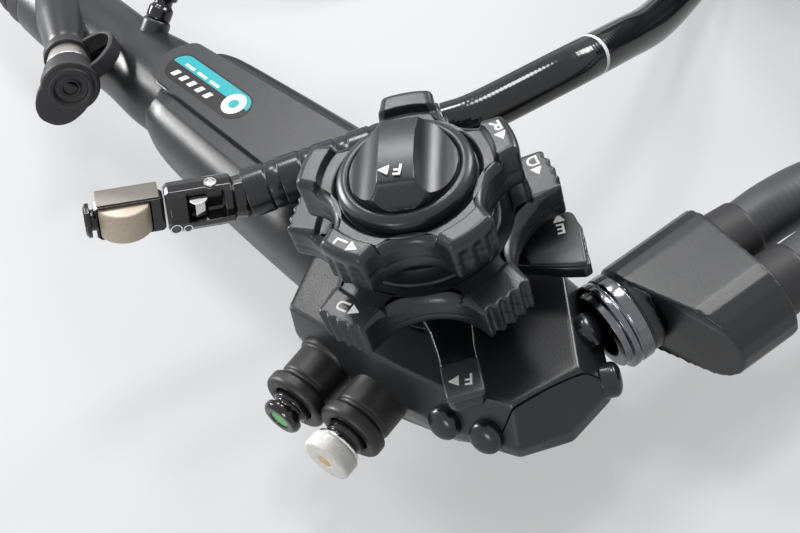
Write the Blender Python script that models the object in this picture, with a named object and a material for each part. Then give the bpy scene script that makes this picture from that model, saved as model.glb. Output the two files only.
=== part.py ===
# Flexible ultrasound endoscope: control body, two angulation knobs, valves, grip with its
# instrument port, insertion tube with a bending tip, and two umbilical cords with connectors.
# Sizes are millimetres; MM turns them into Blender's metres.
# Origin: the knob axis where it meets the table. +Z up along the knob axis,
# -X along the grip towards the boot, -Y towards the valves, +Y towards the umbilical.

import bpy
import bmesh
import math
from mathutils import Matrix, Vector

MM = 0.001
GAP = 0.3                      # space kept between touching pieces

# Control head
HEAD_TOP = 34.0                # height of the flat top face
HEAD_SPLIT = 12.0              # seam between the back and front shells
HEAD_WALL = 2.6
HEAD_LEVELS = (0.0, 10.0, 19.0, 24.0, HEAD_TOP)
HEAD_LEFT = -31.0              # end face towards the grip
HEAD_REACH = 45.8              # farthest corner, at the end cap
# Plan outlines of the head at its levels, counterclockwise from the front left corner
HEAD_FOOT = [(-18, -19), (1, -18), (14, -14), (HEAD_REACH - 21.8, -8), (HEAD_REACH - 17.8, -3),
             (HEAD_REACH - 17.8, 3), (17, 13), (-16, 17), (-27, 12), (-27, -12)]
HEAD_LOW = [(-23, -26), (2, -25), (19, -20), (HEAD_REACH - 13.8, -12), (HEAD_REACH - 8.8, -5),
            (HEAD_REACH - 8.3, 5.5), (22.5, 19.5), (-19.5, 23.5), (HEAD_LEFT, 17), (HEAD_LEFT, -16)]
HEAD_SIDE = [(-24.5, -28), (2, -27), (22, -23.4), (HEAD_REACH - 6.8, -17), (HEAD_REACH - 0.6, -6.4),
             (HEAD_REACH - 1.8, 6.8), (24, 21.5), (-20.3, 25.4), (HEAD_LEFT, 18.6), (HEAD_LEFT, -17.6)]
HEAD_WAIST = [(-25, -28.6), (2, -27.6), (22.5, -24), (HEAD_REACH - 5.3, -17.5), (HEAD_REACH, -6.5),
              (HEAD_REACH - 0.7, 7), (24.5, 22), (-20.5, 26), (HEAD_LEFT, 19), (HEAD_LEFT, -18)]
HEAD_RIM = [(-24.2, -27.8), (1.3, -24.3), (20.8, -20.4), (HEAD_REACH - 8.9, -13.4), (HEAD_REACH - 6.5, -5.7),
            (HEAD_REACH - 4.2, 2.1), (20.9, 18.2), (-20, 24), (HEAD_LEFT, 14), (HEAD_LEFT, -14.9)]
CAP_TILT = -16.6               # degrees from +X of the end cap's seam normal
CAP_DEPTH = 6.2                # of the end cap, from its farthest corner to the seam

# Knob stack, from the inside out and from the bottom up
POST_RADIUS = 3.0
RL_SHAFT_RADIUS = 4.7
UD_SHAFT_RADIUS = 6.6
COLLAR_RADIUS = 9.0
COLLAR_TOP = HEAD_TOP + 12.0
UD_BOTTOM = COLLAR_TOP + 2 * GAP
UD_TOP = UD_BOTTOM + 9.4
UD_RADIUS = 31.5
UD_SCALLOP = 21.5              # least radius, between two lobes
UD_LOBE_HALF = 6.5
RL_BOTTOM = UD_TOP + 4.3
RL_TOP = RL_BOTTOM + 11.4
RL_RADIUS = 24.6
RL_SCALLOP = 17.6
RL_LOBE_HALF = 6.0
RL_DISH = 3.0
LOBES = 5
FIRST_LOBE = -78.0             # degrees from +X of the lobe nearest the valves
FLUTE_DEPTH = 0.8
DRUM_RADIUS = 11.5
DRUM_HEIGHT = 4.5
RL_DRUM_Z = 8.0
UD_DRUM_Z = 15.0
DIAL_RADIUS = 15.4
DIAL_FACE = RL_TOP + 1.5
DIAL_BAR_RISE = 6.8            # of the finger bar over the dial's face
DIAL_TOP = DIAL_FACE + DIAL_BAR_RISE
DIAL_BAR_HALF = 3.9
POST_TOP = DIAL_TOP - 3.6
DIAL_BAR_ANGLE = -44.4
LOCK_LEVER_ANGLE = -33.0
LOCK_LEVER_Z = HEAD_TOP + 2.3
LOCK_LEVER_REACH = 38.5
ELEVATOR_LEVER_ANGLE = 46.0
ELEVATOR_LEVER_REACH = 35.4
LEVER_THICK = 3.7
ELEVATOR_LEVER_Z = LOCK_LEVER_Z + LEVER_THICK + GAP

# Valves on the front of the head
VALVE_ANGLE = -80.0
VALVE_Z = 20.0
VALVE_RADIUS = 7.2
VALVE_SEAT = 21.0              # start of a cylinder, from the knob axis along the valve's way
VALVE_LENGTH = 17.5
VALVE_RIM = VALVE_SEAT + VALVE_LENGTH
SUCTION_OFFSET = -19.5         # across the valve's way, towards the grip
AIR_WATER_OFFSET = -2.5
VALVE_TRAVEL = 3.0

# Remote buttons: place on the head, then the way they point, round the knob axis and upwards
REMOTE_RADIUS = 4.0
REMOTE_PROUD = 3.2
REMOTE_TRAVEL = 1.2
REMOTE_BUTTONS = {
    "remote_button_1": ((HEAD_REACH - 22.8, -22.8, 25.3), -76.0, 20.0),
    "remote_button_2": ((HEAD_REACH - 12.8, -19.4, 25.3), -70.0, 20.0),
    "remote_button_3": ((HEAD_REACH - 13.0, 11.8, 29.6), 52.0, 27.5),
    "remote_button_4": ((HEAD_REACH - 3.2, 7.9, 24.0), 52.0, 0.0),
}

# Umbilical side
UMBILICAL_ANGLE = 82.0
UMBILICAL_X = 33.2
UMBILICAL_Y = 23.5
UMBILICAL_Z = 24.2
NECK_RADIUS = 10.8
RING_START = -5.5              # where the polished ring begins, from the neck's seam
BRANCH_NEAR = 1.3              # housing's near end, from the neck's centre along the umbilical
BRANCH_SLANT = 0.33            # how far that end runs back per millimetre towards the second cord
BRANCH_FAR = 26.0
BRANCH_SPACING = 17.0          # between the two cords
BRANCH_RADIUS = 11.2
CORD_DIAMETER = 14.0
CORD_BOOT_LENGTH = 9.0

# Grip and boot
GRIP_Y = 3.8
GRIP_Z = 19.8
GRIP_TOP = 32.2
GRIP_FULLNESS = 2.0            # what the far side's half width has more than the near side's
GRIP_END = -112.0
NECK_END = -186.0
SLEEVE_RADIUS = 12.2
SLEEVE_FULLNESS = 2.2          # added to the sleeve on the umbilical's side
BOOT_END = -234.0
PANEL_TOP = GRIP_TOP + 1.8
PORT_SEAT = Vector((-177.3, 5.5, 24.8))
PORT_WAY = Vector((0.876, -0.457, 0.154)).normalized()
PORT_COLLAR_START = 32.2
PORT_COLLAR_END = 42.2
PORT_TAB_TURN = -49.5          # degrees that the seal's tab is turned about the port's way
PORT_CAP_END = 50.7
PORT_RADIUS = 6.4
AUX_X = -137.0
AUX_WAY = Vector((-0.1, 0.78, 0.62)).normalized()

# Insertion tube and its bending tip
TUBE_DIAMETER = 10.8
TUBE_Z = 40.3                  # height where the tube lies across the grip
BEND_RADIUS = 6.0
BEND_PITCH = 9.0
BEND_HINGES = 6
BEND_BASE_LENGTH = 7.0         # from the first hinge back to the tube
BEND_END = Vector((-56.0, -17.0, TUBE_Z))
BEND_WAY = 62.0                # degrees from +X, from the tip back to the tube
BALL_RADIUS = 5.4
CUP_RADIUS = 5.9
TIP_PITCH = 14.0               # degrees that the rigid tip is raised above the bending section's line
TIP_BODY_LENGTH = 18.4
HOUSING_LENGTH = 16.6
LENS_MIDDLE = 28.2             # along the tip, from its hinge
LENS_LENGTH = 12.3
LENS_WIDTH = 9.0
LENS_CURVE = 7.2
LENS_PROUD = 5.5               # how far its crown stands from the tip's axis

FLOOR_TUBE = TUBE_DIAMETER / 2
FLOOR_CORD = CORD_DIAMETER / 2

# Coils of the lengths put away: centre, radius at the middle of the turns, height of what they lie on.
# The scan cord's coil lies on the light guide's.
LAYER = 1.03                   # height that the second layer of turns adds, in diameters
TUBE_COIL = (-180.0, 116.0, 54.0, 0.0)
GUIDE_COIL = (-20.0, 222.0, 64.0, 0.0)
SCAN_COIL = (GUIDE_COIL[0], GUIDE_COIL[1], GUIDE_COIL[2], CORD_DIAMETER * (1 + LAYER) + GAP)

# Connectors: their bodies, and where each cord goes in. The scan connector lies on the other one.
GUIDE_BODY = (62.0, 40.0, 40.0)
SCAN_BODY = (58.0, 46.0, 33.0)
PLUG_BOOT = 14.3               # how far the boot stands out of each body
GUIDE_PLUG = (-103.0, 286.0, GUIDE_BODY[2] / 2)
SCAN_PLUG = (GUIDE_PLUG[0], GUIDE_PLUG[1], GUIDE_BODY[2] + GAP + SCAN_BODY[2] / 2)
PLUG_WAY = (-1, 0, 0)


def clear_scene():
    for item in list(bpy.data.objects):
        bpy.data.objects.remove(item, do_unlink=True)


def material(name, colour, roughness, metallic=0.0):
    found = bpy.data.materials.get(name)
    if found:
        return found
    made = bpy.data.materials.new(name)
    made.use_nodes = True
    shader = made.node_tree.nodes["Principled BSDF"]
    shader.inputs["Base Color"].default_value = (*colour, 1.0)
    shader.inputs["Roughness"].default_value = roughness
    shader.inputs["Metallic"].default_value = metallic
    made.diffuse_color = (*colour, 1.0)
    return made


def black_shell():
    return material("black_shell", (0.035, 0.036, 0.042), 0.45)


def dark_knob():
    return material("dark_knob", (0.045, 0.046, 0.052), 0.5)


def gloss_black():
    return material("gloss_black", (0.02, 0.02, 0.024), 0.18)


def soft_rubber():
    return material("soft_rubber", (0.02, 0.02, 0.022), 0.65)


def steel():
    return material("steel", (0.62, 0.62, 0.63), 0.25, 1.0)


def white_plastic():
    return material("white_plastic", (0.85, 0.84, 0.8), 0.35)


def lens_resin():
    return material("lens_resin", (0.75, 0.68, 0.55), 0.4)


def glass_lens():
    return material("glass_lens", (0.1, 0.12, 0.16), 0.05)


# Helpers that turn outlines and rings into closed meshes

def finish(name, mesh_data, surface, smooth=40.0, pivot=(0, 0, 0)):
    """Named object from a mesh in millimetres, with its origin on the pivot."""
    bmesh.ops.recalc_face_normals(mesh_data, faces=mesh_data.faces)
    bmesh.ops.translate(mesh_data, vec=-Vector(pivot), verts=mesh_data.verts)
    bmesh.ops.scale(mesh_data, vec=(MM, MM, MM), verts=mesh_data.verts)
    mesh = bpy.data.meshes.new(name)
    mesh_data.to_mesh(mesh)
    mesh_data.free()
    node = bpy.data.objects.new(name, mesh)
    bpy.context.scene.collection.objects.link(node)
    node.location = Vector(pivot) * MM
    mesh.materials.append(surface)
    mesh.shade_smooth()
    mesh.set_sharp_from_angle(angle=math.radians(smooth))
    return node


def loft(rings):
    """Closed skin through rings of equally many points; a ring of one point is a pole."""
    made = bmesh.new()
    rows = [[made.verts.new(point) for point in ring] for ring in rings]
    for low, high in zip(rows, rows[1:]):
        count = max(len(low), len(high))
        for i in range(count):
            j = (i + 1) % count
            if len(low) == 1:
                made.faces.new((low[0], high[i], high[j]))
            elif len(high) == 1:
                made.faces.new((low[i], low[j], high[0]))
            else:
                made.faces.new((low[i], low[j], high[j], high[i]))
    if len(rows[0]) > 1:
        made.faces.new(rows[0])
    if len(rows[-1]) > 1:
        made.faces.new(rows[-1])
    return made


def loop_loft(rings):
    """Skin through rings whose last joins the first, such as a turned body with a bore."""
    made = bmesh.new()
    rows = [[made.verts.new(point) for point in ring] for ring in rings]
    for k, low in enumerate(rows):
        high = rows[(k + 1) % len(rows)]
        for i in range(len(low)):
            j = (i + 1) % len(low)
            made.faces.new((low[i], low[j], high[j], high[i]))
    return made


def circle(radius, height, sides, turn=0.0):
    return [(radius * math.cos(turn + 2 * math.pi * i / sides),
             radius * math.sin(turn + 2 * math.pi * i / sides), height) for i in range(sides)]


def turned(profile, sides):
    """Body of revolution about Z from (radius, height) pairs; closed on itself if no pole."""
    poles = profile[0][0] == 0 and profile[-1][0] == 0
    rings = [[(0, 0, z)] if r == 0 else circle(r, z, sides) for r, z in profile]
    return loft(rings) if poles else loop_loft(rings)


def rod(radius, low, high, sides, chamfer=0.0):
    if chamfer == 0:
        return turned([(0, low), (radius, low), (radius, high), (0, high)], sides)
    return turned([(0, low), (radius - chamfer, low), (radius, low + chamfer), (radius, high - chamfer),
                   (radius - chamfer, high), (0, high)], sides)


def prism(outline, low, high):
    return loft([[(x, y, low) for x, y in outline], [(x, y, high) for x, y in outline]])


def arc(centre, radius, start, stop, steps):
    return [(centre[0] + radius * math.cos(math.radians(start + (stop - start) * i / steps)),
             centre[1] + radius * math.sin(math.radians(start + (stop - start) * i / steps)))
            for i in range(steps + 1)]


def rounded_box(size, centre, radius, steps=2):
    made = bmesh.new()
    bmesh.ops.create_cube(made, size=1.0)
    bmesh.ops.scale(made, vec=size, verts=made.verts)
    bmesh.ops.bevel(made, geom=made.edges[:], offset=radius, segments=steps, affect="EDGES", profile=0.5)
    bmesh.ops.translate(made, vec=centre, verts=made.verts)
    return made


def place(mesh_data, origin, way, up=(0, 0, 1)):
    """Turn a mesh built along +Z so that it runs along way, and move it to origin."""
    z = Vector(way).normalized()
    x = Vector(up).cross(z)
    if x.length < 1e-6:
        x = Vector((1, 0, 0))
    x.normalize()
    y = z.cross(x)
    turn = Matrix((x, y, z)).transposed().to_4x4()
    bmesh.ops.transform(mesh_data, matrix=Matrix.Translation(Vector(origin)) @ turn, verts=mesh_data.verts)
    return mesh_data


def slice_off(mesh_data, point, normal):
    """Keep what lies behind the plane and close the cut."""
    geometry = mesh_data.verts[:] + mesh_data.edges[:] + mesh_data.faces[:]
    cut = bmesh.ops.bisect_plane(mesh_data, geom=geometry, plane_co=point, plane_no=normal, clear_outer=True)
    edges = [item for item in cut["geom_cut"] if isinstance(item, bmesh.types.BMEdge)]
    bmesh.ops.edgeloop_fill(mesh_data, edges=edges)
    return mesh_data


def combine(node, tool_mesh, operation):
    """Boolean of a node with a mesh in millimetres."""
    bmesh.ops.recalc_face_normals(tool_mesh, faces=tool_mesh.faces)
    bmesh.ops.scale(tool_mesh, vec=(MM, MM, MM), verts=tool_mesh.verts)
    data = bpy.data.meshes.new(node.name + "_tool")
    tool_mesh.to_mesh(data)
    tool_mesh.free()
    tool = bpy.data.objects.new(node.name + "_tool", data)
    bpy.context.scene.collection.objects.link(tool)
    tool.hide_render = True
    tool.display_type = "WIRE"
    change = node.modifiers.new("shape", "BOOLEAN")
    change.operation = operation
    change.solver = "EXACT"
    change.object = tool


def direction(degrees, rise=0.0):
    flat = math.cos(math.radians(rise))
    return Vector((flat * math.cos(math.radians(degrees)), flat * math.sin(math.radians(degrees)),
                   math.sin(math.radians(rise))))


def inset(outline, distance):
    """Move each corner of a counterclockwise outline inwards."""
    moved = []
    count = len(outline)
    for i in range(count):
        here = Vector(outline[i])
        before = (here - Vector(outline[i - 1])).normalized()
        after = (Vector(outline[(i + 1) % count]) - here).normalized()
        inward = Vector((-before.y, before.x)) + Vector((-after.y, after.x))
        inward.normalize()
        along = inward.dot(Vector((-before.y, before.x)))
        moved.append(tuple(here + inward * distance / along))
    return moved


# Control head

def head_solid(wall=0.0, floor=0.0, roof=0.0):
    outlines = [HEAD_FOOT, HEAD_LOW, HEAD_SIDE, HEAD_WAIST, HEAD_RIM]
    levels = list(HEAD_LEVELS)
    levels[0] += floor
    levels[-1] -= roof
    rings = []
    for outline, level in zip(outlines, levels):
        points = inset(outline, wall) if wall else outline
        rings.append([(x, y, level) for x, y in points])
    return loft(rings)


def valve_point(offset, reach):
    way = direction(VALVE_ANGLE)
    across = direction(VALVE_ANGLE + 90)
    return way * reach + across * offset + Vector((0, 0, VALVE_Z))


def umbilical_point(reach, aside=0.0):
    way = direction(UMBILICAL_ANGLE)
    across = direction(UMBILICAL_ANGLE - 90)
    return Vector((UMBILICAL_X, UMBILICAL_Y, UMBILICAL_Z)) + way * reach + across * aside


def head_shells():
    seam_way = direction(CAP_TILT)
    seam = HEAD_REACH - CAP_DEPTH
    cavity = dict(wall=HEAD_WALL, floor=HEAD_WALL, roof=HEAD_WALL)

    front = slice_off(head_solid(), (0, 0, HEAD_SPLIT + GAP), (0, 0, -1))
    slice_off(front, seam_way * seam, seam_way)
    back = slice_off(head_solid(), (0, 0, HEAD_SPLIT), (0, 0, 1))
    slice_off(back, seam_way * seam, seam_way)
    cap = slice_off(head_solid(), seam_way * (seam + GAP), -seam_way)

    front_node = finish("housing_front", front, black_shell(), 25)
    back_node = finish("housing_back", back, black_shell(), 25)
    finish("end_cap", cap, gloss_black(), 25)
    for node in (front_node, back_node):
        hollow = slice_off(head_solid(**cavity), seam_way * (seam - HEAD_WALL), seam_way)
        combine(node, hollow, "DIFFERENCE")

    combine(front_node, rod(COLLAR_RADIUS + GAP, HEAD_SPLIT + 6, HEAD_TOP + 5, 24), "DIFFERENCE")
    for offset in (SUCTION_OFFSET, AIR_WATER_OFFSET):
        bore = rod(VALVE_RADIUS + GAP, 0, 30, 24)
        place(bore, valve_point(offset, VALVE_SEAT - 2), direction(VALVE_ANGLE))
        combine(front_node, bore, "DIFFERENCE")
    for radius, start in ((NECK_RADIUS - 1.5 + GAP, -14), (NECK_RADIUS + GAP, RING_START - GAP)):
        bore = rod(radius, start, 12, 24)
        combine(front_node, place(bore, umbilical_point(0), direction(UMBILICAL_ANGLE)), "DIFFERENCE")


def inner_frame():
    floor = HEAD_WALL + GAP
    plate = inset(HEAD_FOOT, HEAD_WALL + 1.0)
    node = finish("inner_frame", prism(plate, floor, floor + 2.0), steel(), 30)
    combine(node, rod(POST_RADIUS, floor + 0.5, POST_TOP, 16), "UNION")
    low = HEAD_TOP - HEAD_WALL - 2.0
    flange = COLLAR_RADIUS + 5.5
    collar = turned([(UD_SHAFT_RADIUS + GAP, low), (COLLAR_RADIUS, low), (COLLAR_RADIUS, HEAD_TOP + GAP),
                     (flange, HEAD_TOP + GAP), (flange, HEAD_TOP + 1.6), (COLLAR_RADIUS, HEAD_TOP + 1.6),
                     (COLLAR_RADIUS, COLLAR_TOP), (UD_SHAFT_RADIUS + GAP, COLLAR_TOP)], 24)
    finish("lever_collar", collar, gloss_black())


def drum(name, inner, outer, low, top):
    rope = low + DRUM_HEIGHT / 2
    profile = [(inner, low), (DRUM_RADIUS, low), (DRUM_RADIUS - 1.2, rope), (DRUM_RADIUS, low + DRUM_HEIGHT),
               (outer, low + DRUM_HEIGHT), (outer, top), (inner, top)]
    return finish(name, turned(profile, 24), steel(), pivot=(0, 0, low))


# Angulation knobs

def lobed_angles():
    """Angles round one lobe and the scallop after it, as (degrees, share of lobe, flute)."""
    pattern = []
    for k in range(LOBES):
        centre = FIRST_LOBE + k * 360.0 / LOBES
        for step in range(7):
            pattern.append((centre, -1 + step / 3, step % 2))
        for step in range(1, 6):
            pattern.append((centre, None, step / 6))
    return pattern


def lobed_ring(outer, scallop, lobe_half, height, grow=0.0, flute=0.0):
    """Outline with round-ended lobes joined by circular scallops; grow moves it outwards."""
    edge = math.degrees(math.asin(lobe_half / outer))
    half_gap = 180.0 / LOBES - edge
    corner_x = outer * math.cos(math.radians(half_gap))
    corner_y = outer * math.sin(math.radians(half_gap))
    centre = (corner_x ** 2 + corner_y ** 2 - scallop ** 2) / (2 * (corner_x - scallop))
    scoop = centre - scallop
    sweep = math.degrees(math.atan2(corner_y, centre - corner_x))
    ring = []
    for middle, share, step in lobed_angles():
        if share is not None:
            angle = math.radians(middle + share * edge)
            radius = outer + grow - (flute if step else 0.0)
        else:
            turn = math.radians(180 - sweep + 2 * sweep * step)
            x = centre + scoop * math.cos(turn)
            y = -scoop * math.sin(turn)
            radius = math.hypot(x, y) + grow
            angle = math.radians(middle + 180.0 / LOBES) + math.atan2(y, x)
        ring.append((radius * math.cos(angle), radius * math.sin(angle), height))
    return ring


def round_ring(radius, height, outer, lobe_half):
    """Circle whose points share the angles of the lobed ring, so that both can be lofted."""
    return [(radius * Vector((x, y)).normalized().x, radius * Vector((x, y)).normalized().y, height)
            for x, y, z in lobed_ring(outer, outer * 0.7, lobe_half, height)]


def knob(name, bottom, top, outer, scallop, lobe_half, bore, dish, hub, surface):
    """Lobed hand wheel; dish is its hollow's radius and depth, hub what stands in the hollow."""
    thick = top - bottom
    rings = [
        round_ring(bore, bottom, outer, lobe_half),
        lobed_ring(outer, scallop, lobe_half, bottom, grow=-2.2),
        lobed_ring(outer, scallop, lobe_half, bottom + thick * 0.14, grow=-0.4, flute=FLUTE_DEPTH),
        lobed_ring(outer, scallop, lobe_half, bottom + thick * 0.72, grow=0.6, flute=FLUTE_DEPTH),
        lobed_ring(outer, scallop, lobe_half, top - 0.5, grow=0.0),
        lobed_ring(outer, scallop, lobe_half, top, grow=-1.0),
        round_ring(dish[0], top, outer, lobe_half),
        round_ring(dish[0] - 0.5, top - dish[1], outer, lobe_half),
    ]
    if hub:
        rings.append(round_ring(hub[0], top - dish[1], outer, lobe_half))
        rings.append(round_ring(hub[0] - 0.8, hub[1], outer, lobe_half))
    rings.append(round_ring(bore, hub[1] if hub else top - dish[1], outer, lobe_half))
    return finish(name, loop_loft(rings), surface, 35, (0, 0, bottom))


def dial():
    """Brake dial on top: a round skirt and a finger bar left standing between two scoops."""
    skirt = DIAL_RADIUS
    bore = POST_RADIUS + GAP
    low = RL_TOP - RL_DISH + GAP
    profile = [(0, POST_TOP + GAP), (bore, POST_TOP + GAP), (bore, low), (skirt, low), (skirt, RL_TOP - 1.2),
               (skirt - 1.4, DIAL_FACE - 0.2), (skirt - 3.4, DIAL_FACE), (skirt - 3.4, DIAL_TOP - 0.6),
               (skirt - 4.0, DIAL_TOP), (0, DIAL_TOP)]
    node = finish("rl_brake_dial", turned(profile, 28), dark_knob(), 35, (0, 0, RL_TOP))
    along = direction(DIAL_BAR_ANGLE)
    across = direction(DIAL_BAR_ANGLE + 90)
    scoop = 8.0
    reach = DIAL_BAR_HALF + math.sqrt(scoop ** 2 - (DIAL_FACE + scoop - DIAL_TOP) ** 2)
    for side in (-1, 1):
        cutter = rod(scoop, -20, 20, 24)
        centre = across * side * reach + Vector((0, 0, DIAL_FACE + 0.2 + scoop))
        combine(node, place(cutter, centre, along), "DIFFERENCE")
        beyond = [(9.6, DIAL_TOP - 4.4), (30, DIAL_TOP - 16), (30, DIAL_TOP + 8), (8.8, DIAL_TOP + 8)]
        wedge = prism(beyond, -12, 12)
        turn = Matrix((along * side, Vector((0, 0, 1)), (along * side).cross(Vector((0, 0, 1))))).transposed()
        bmesh.ops.transform(wedge, matrix=turn.to_4x4(), verts=wedge.verts)
        combine(node, wedge, "DIFFERENCE")


def lever(name, angle, level, hub, root, pad, surface):
    """Flat lever: a ring round the collar, then an arm and finger pad whose outline pad gives
    as (along, aside) pairs in the lever's own direction."""
    start = math.degrees(math.asin(root / 2 / hub))
    outline = arc((0, 0), hub, start, 360 - start, 18) + pad
    body = prism(outline, level, level + LEVER_THICK)
    turn = Matrix.Rotation(math.radians(angle), 3, "Z")
    bmesh.ops.rotate(body, cent=(0, 0, 0), matrix=turn, verts=body.verts)
    node = finish(name, body, surface, 30, (0, 0, level))
    combine(node, rod(COLLAR_RADIUS + GAP, level - 3, level + LEVER_THICK + 3, 24), "DIFFERENCE")
    return node


def lock_pad():
    reach = LOCK_LEVER_REACH
    half = 4.2
    near_side = [(reach - 12, -half + 0.5), (reach - 9, -half), (reach - 1.2, -half), (reach, -half + 1.2)]
    return near_side + [(along, -aside) for along, aside in reversed(near_side)]


def elevator_pad():
    """Wide pad with a slanting end, which has grooves for the thumb."""
    reach = ELEVATOR_LEVER_REACH
    outline = [(reach - 16, -5.5), (reach - 5.9, -8.6), (reach - 1.6, -9.2), (reach - 0.1, -8.4)]
    groove_count = 4
    end_slant = 1.8
    end_width = 11.3
    for i in range(groove_count):
        for depth, step in ((0.8, i + 0.5), (0.0, i + 1.0)):
            share = step / groove_count
            outline.append((reach - end_slant * share - depth, -8.4 + end_width * share))
    return outline + [(reach - 4, 7.0), (reach - 6, 8.1), (reach - 8.7, 8.1), (reach - 18.4, 6.0)]


def knob_stack():
    drum("rl_drum", POST_RADIUS + GAP, RL_SHAFT_RADIUS, RL_DRUM_Z, RL_BOTTOM - GAP)
    drum("ud_drum", RL_SHAFT_RADIUS + GAP, UD_SHAFT_RADIUS, UD_DRUM_Z, UD_BOTTOM - GAP)
    knob("ud_knob", UD_BOTTOM, UD_TOP, UD_RADIUS, UD_SCALLOP, UD_LOBE_HALF, RL_SHAFT_RADIUS + GAP,
         (UD_SCALLOP - 1.6, 1.6), (UD_SCALLOP - 4.5, RL_BOTTOM - 0.8), dark_knob())
    knob("rl_knob", RL_BOTTOM, RL_TOP, RL_RADIUS, RL_SCALLOP, RL_LOBE_HALF, POST_RADIUS + GAP,
         (RL_SCALLOP - 1.5, RL_DISH), None, dark_knob())
    dial()
    lever("ud_brake_lever", LOCK_LEVER_ANGLE, LOCK_LEVER_Z, 13.0, 14.0, lock_pad(), gloss_black())
    lever("elevator_lever", ELEVATOR_LEVER_ANGLE, ELEVATOR_LEVER_Z, 13.0, 15.0, elevator_pad(), dark_knob())


# Valves and remote buttons

def valve_cylinders():
    base = VALVE_SEAT
    rim = VALVE_RIM
    bore = VALVE_RADIUS - 2.2
    bead = VALVE_RADIUS + 0.5
    profile = [(bore, base), (VALVE_RADIUS, base), (VALVE_RADIUS, rim - 4.2), (VALVE_RADIUS - 0.7, rim - 3.4),
               (bead, rim - 2.4), (bead, rim - 0.6), (VALVE_RADIUS, rim), (bore, rim)]
    for name, offset in (("suction_cylinder", SUCTION_OFFSET), ("air_water_cylinder", AIR_WATER_OFFSET)):
        body = place(turned(profile, 24), valve_point(offset, 0), direction(VALVE_ANGLE))
        finish(name, body, soft_rubber())


def suction_button():
    bore = VALVE_RADIUS - 2.2 - GAP
    rim = VALVE_RIM
    low = VALVE_SEAT + 4
    profile = [(0, low), (bore, low), (bore, rim + 1.0), (bore - 0.7, rim + 1.4), (bore - 0.7, rim + 2.4),
               (bore + 0.1, rim + 2.8), (bore + 0.1, rim + 4.1), (bore - 0.7, rim + 4.8), (0, rim + 4.8)]
    body = turned(profile, 24)
    seat = valve_point(SUCTION_OFFSET, 0)
    finish("suction_button", place(body, seat, direction(VALVE_ANGLE)), gloss_black(), pivot=seat)


def air_water_button():
    bore = VALVE_RADIUS - 2.2 - GAP
    rim = VALVE_RIM
    stem = turned([(0, VALVE_SEAT + 4), (bore, VALVE_SEAT + 4), (bore, rim + 3.6), (0, rim + 3.6)], 24)
    way = direction(VALVE_ANGLE)
    seat = valve_point(AIR_WATER_OFFSET, 0)
    finish("air_water_piston", place(stem, seat, way), gloss_black(), pivot=seat)
    start = rim + 3.6 + GAP
    wide = bore + 1.5
    cap = turned([(0, start), (wide - 0.3, start), (wide, start + 0.6), (wide, start + 3.2),
                  (wide - 1.0, start + 4.1), (1.6, start + 4.3), (1.2, start + 3.9), (0, start + 3.9)], 24)
    finish("air_water_cap", place(cap, seat, way), white_plastic(), pivot=seat)


def remote_buttons():
    for name, (seat, angle, rise) in REMOTE_BUTTONS.items():
        way = direction(angle, rise)
        profile = [(0, -1.4), (REMOTE_RADIUS, -1.4), (REMOTE_RADIUS, REMOTE_PROUD - 1.4),
                   (REMOTE_RADIUS - 1.0, REMOTE_PROUD - 0.3), (0, REMOTE_PROUD)]
        finish(name, place(turned(profile, 16), seat, way), soft_rubber(), pivot=seat)
        for shell in ("housing_front", "end_cap"):
            bore = rod(REMOTE_RADIUS + GAP, -4.5, 8.0, 16)
            combine(bpy.data.objects[shell], place(bore, seat, way), "DIFFERENCE")


# Umbilical neck, branch housing and cord boots

def umbilical():
    way = direction(UMBILICAL_ANGLE)
    ring = turned([(NECK_RADIUS - 4.5, -7.2), (NECK_RADIUS - 1.5, -7.2), (NECK_RADIUS - 1.5, RING_START),
                   (NECK_RADIUS, RING_START), (NECK_RADIUS, 0.0), (NECK_RADIUS - 4.5, 0.0)], 24)
    finish("umbilical_ring", place(ring, umbilical_point(0), way), steel())

    near, far, spread = BRANCH_NEAR, BRANCH_FAR, BRANCH_SPACING
    radius = BRANCH_RADIUS
    stadium = arc((0, 0), radius, 90, 270, 10) + arc((spread, 0), radius, -90, 90, 10)

    def ring_at(reach, slant):
        return [umbilical_point(reach + slant * max(0.0, x), x) + Vector((0, 0, z)) for x, z in stadium]
    ends = ((near, BRANCH_SLANT), (near + 0.8, BRANCH_SLANT), (far - 0.8, 0.0), (far, 0.0))
    rings = [ring_at(reach, slant) for reach, slant in ends]
    housing = finish("branch_housing", loft(rings), black_shell(), 40)
    neck = turned([(0, GAP), (NECK_RADIUS - 0.4, GAP), (NECK_RADIUS - 0.4, near + 2.0), (0, near + 2.0)], 24)
    combine(housing, place(neck, umbilical_point(0), way), "UNION")
    cord = CORD_DIAMETER / 2
    profile = [(0, GAP), (cord + 1.1, GAP), (cord + 0.6, CORD_BOOT_LENGTH), (0, CORD_BOOT_LENGTH)]
    for name, aside in (("light_guide_boot", 0.0), ("scan_cord_boot", spread)):
        boot = place(turned(profile, 20), umbilical_point(far, aside), way)
        finish(name, boot, soft_rubber())


# Grip, neck sleeve, instrument port and boot

def grip_section(x, half_width, low, high):
    """Rounded section with a flat strip on top, fuller on the umbilical's side, as a ring at x."""
    points = []
    middle = (low + high) / 2
    tall = (high - low) / 2
    count = 20
    for i in range(count):
        angle = math.radians(90) + 2 * math.pi * (i + 0.5) / count
        c, s = math.cos(angle), math.sin(angle)
        power = 2.0 / 3.2
        side = half_width + (GRIP_FULLNESS if c > 0 else 0.0)
        y = side * math.copysign(abs(c) ** power, c)
        z = tall * math.copysign(abs(s) ** power, s)
        if s > 0:
            z = min(z * 1.06, tall)
        points.append((x, GRIP_Y + y, middle + z))
    return points


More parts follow.
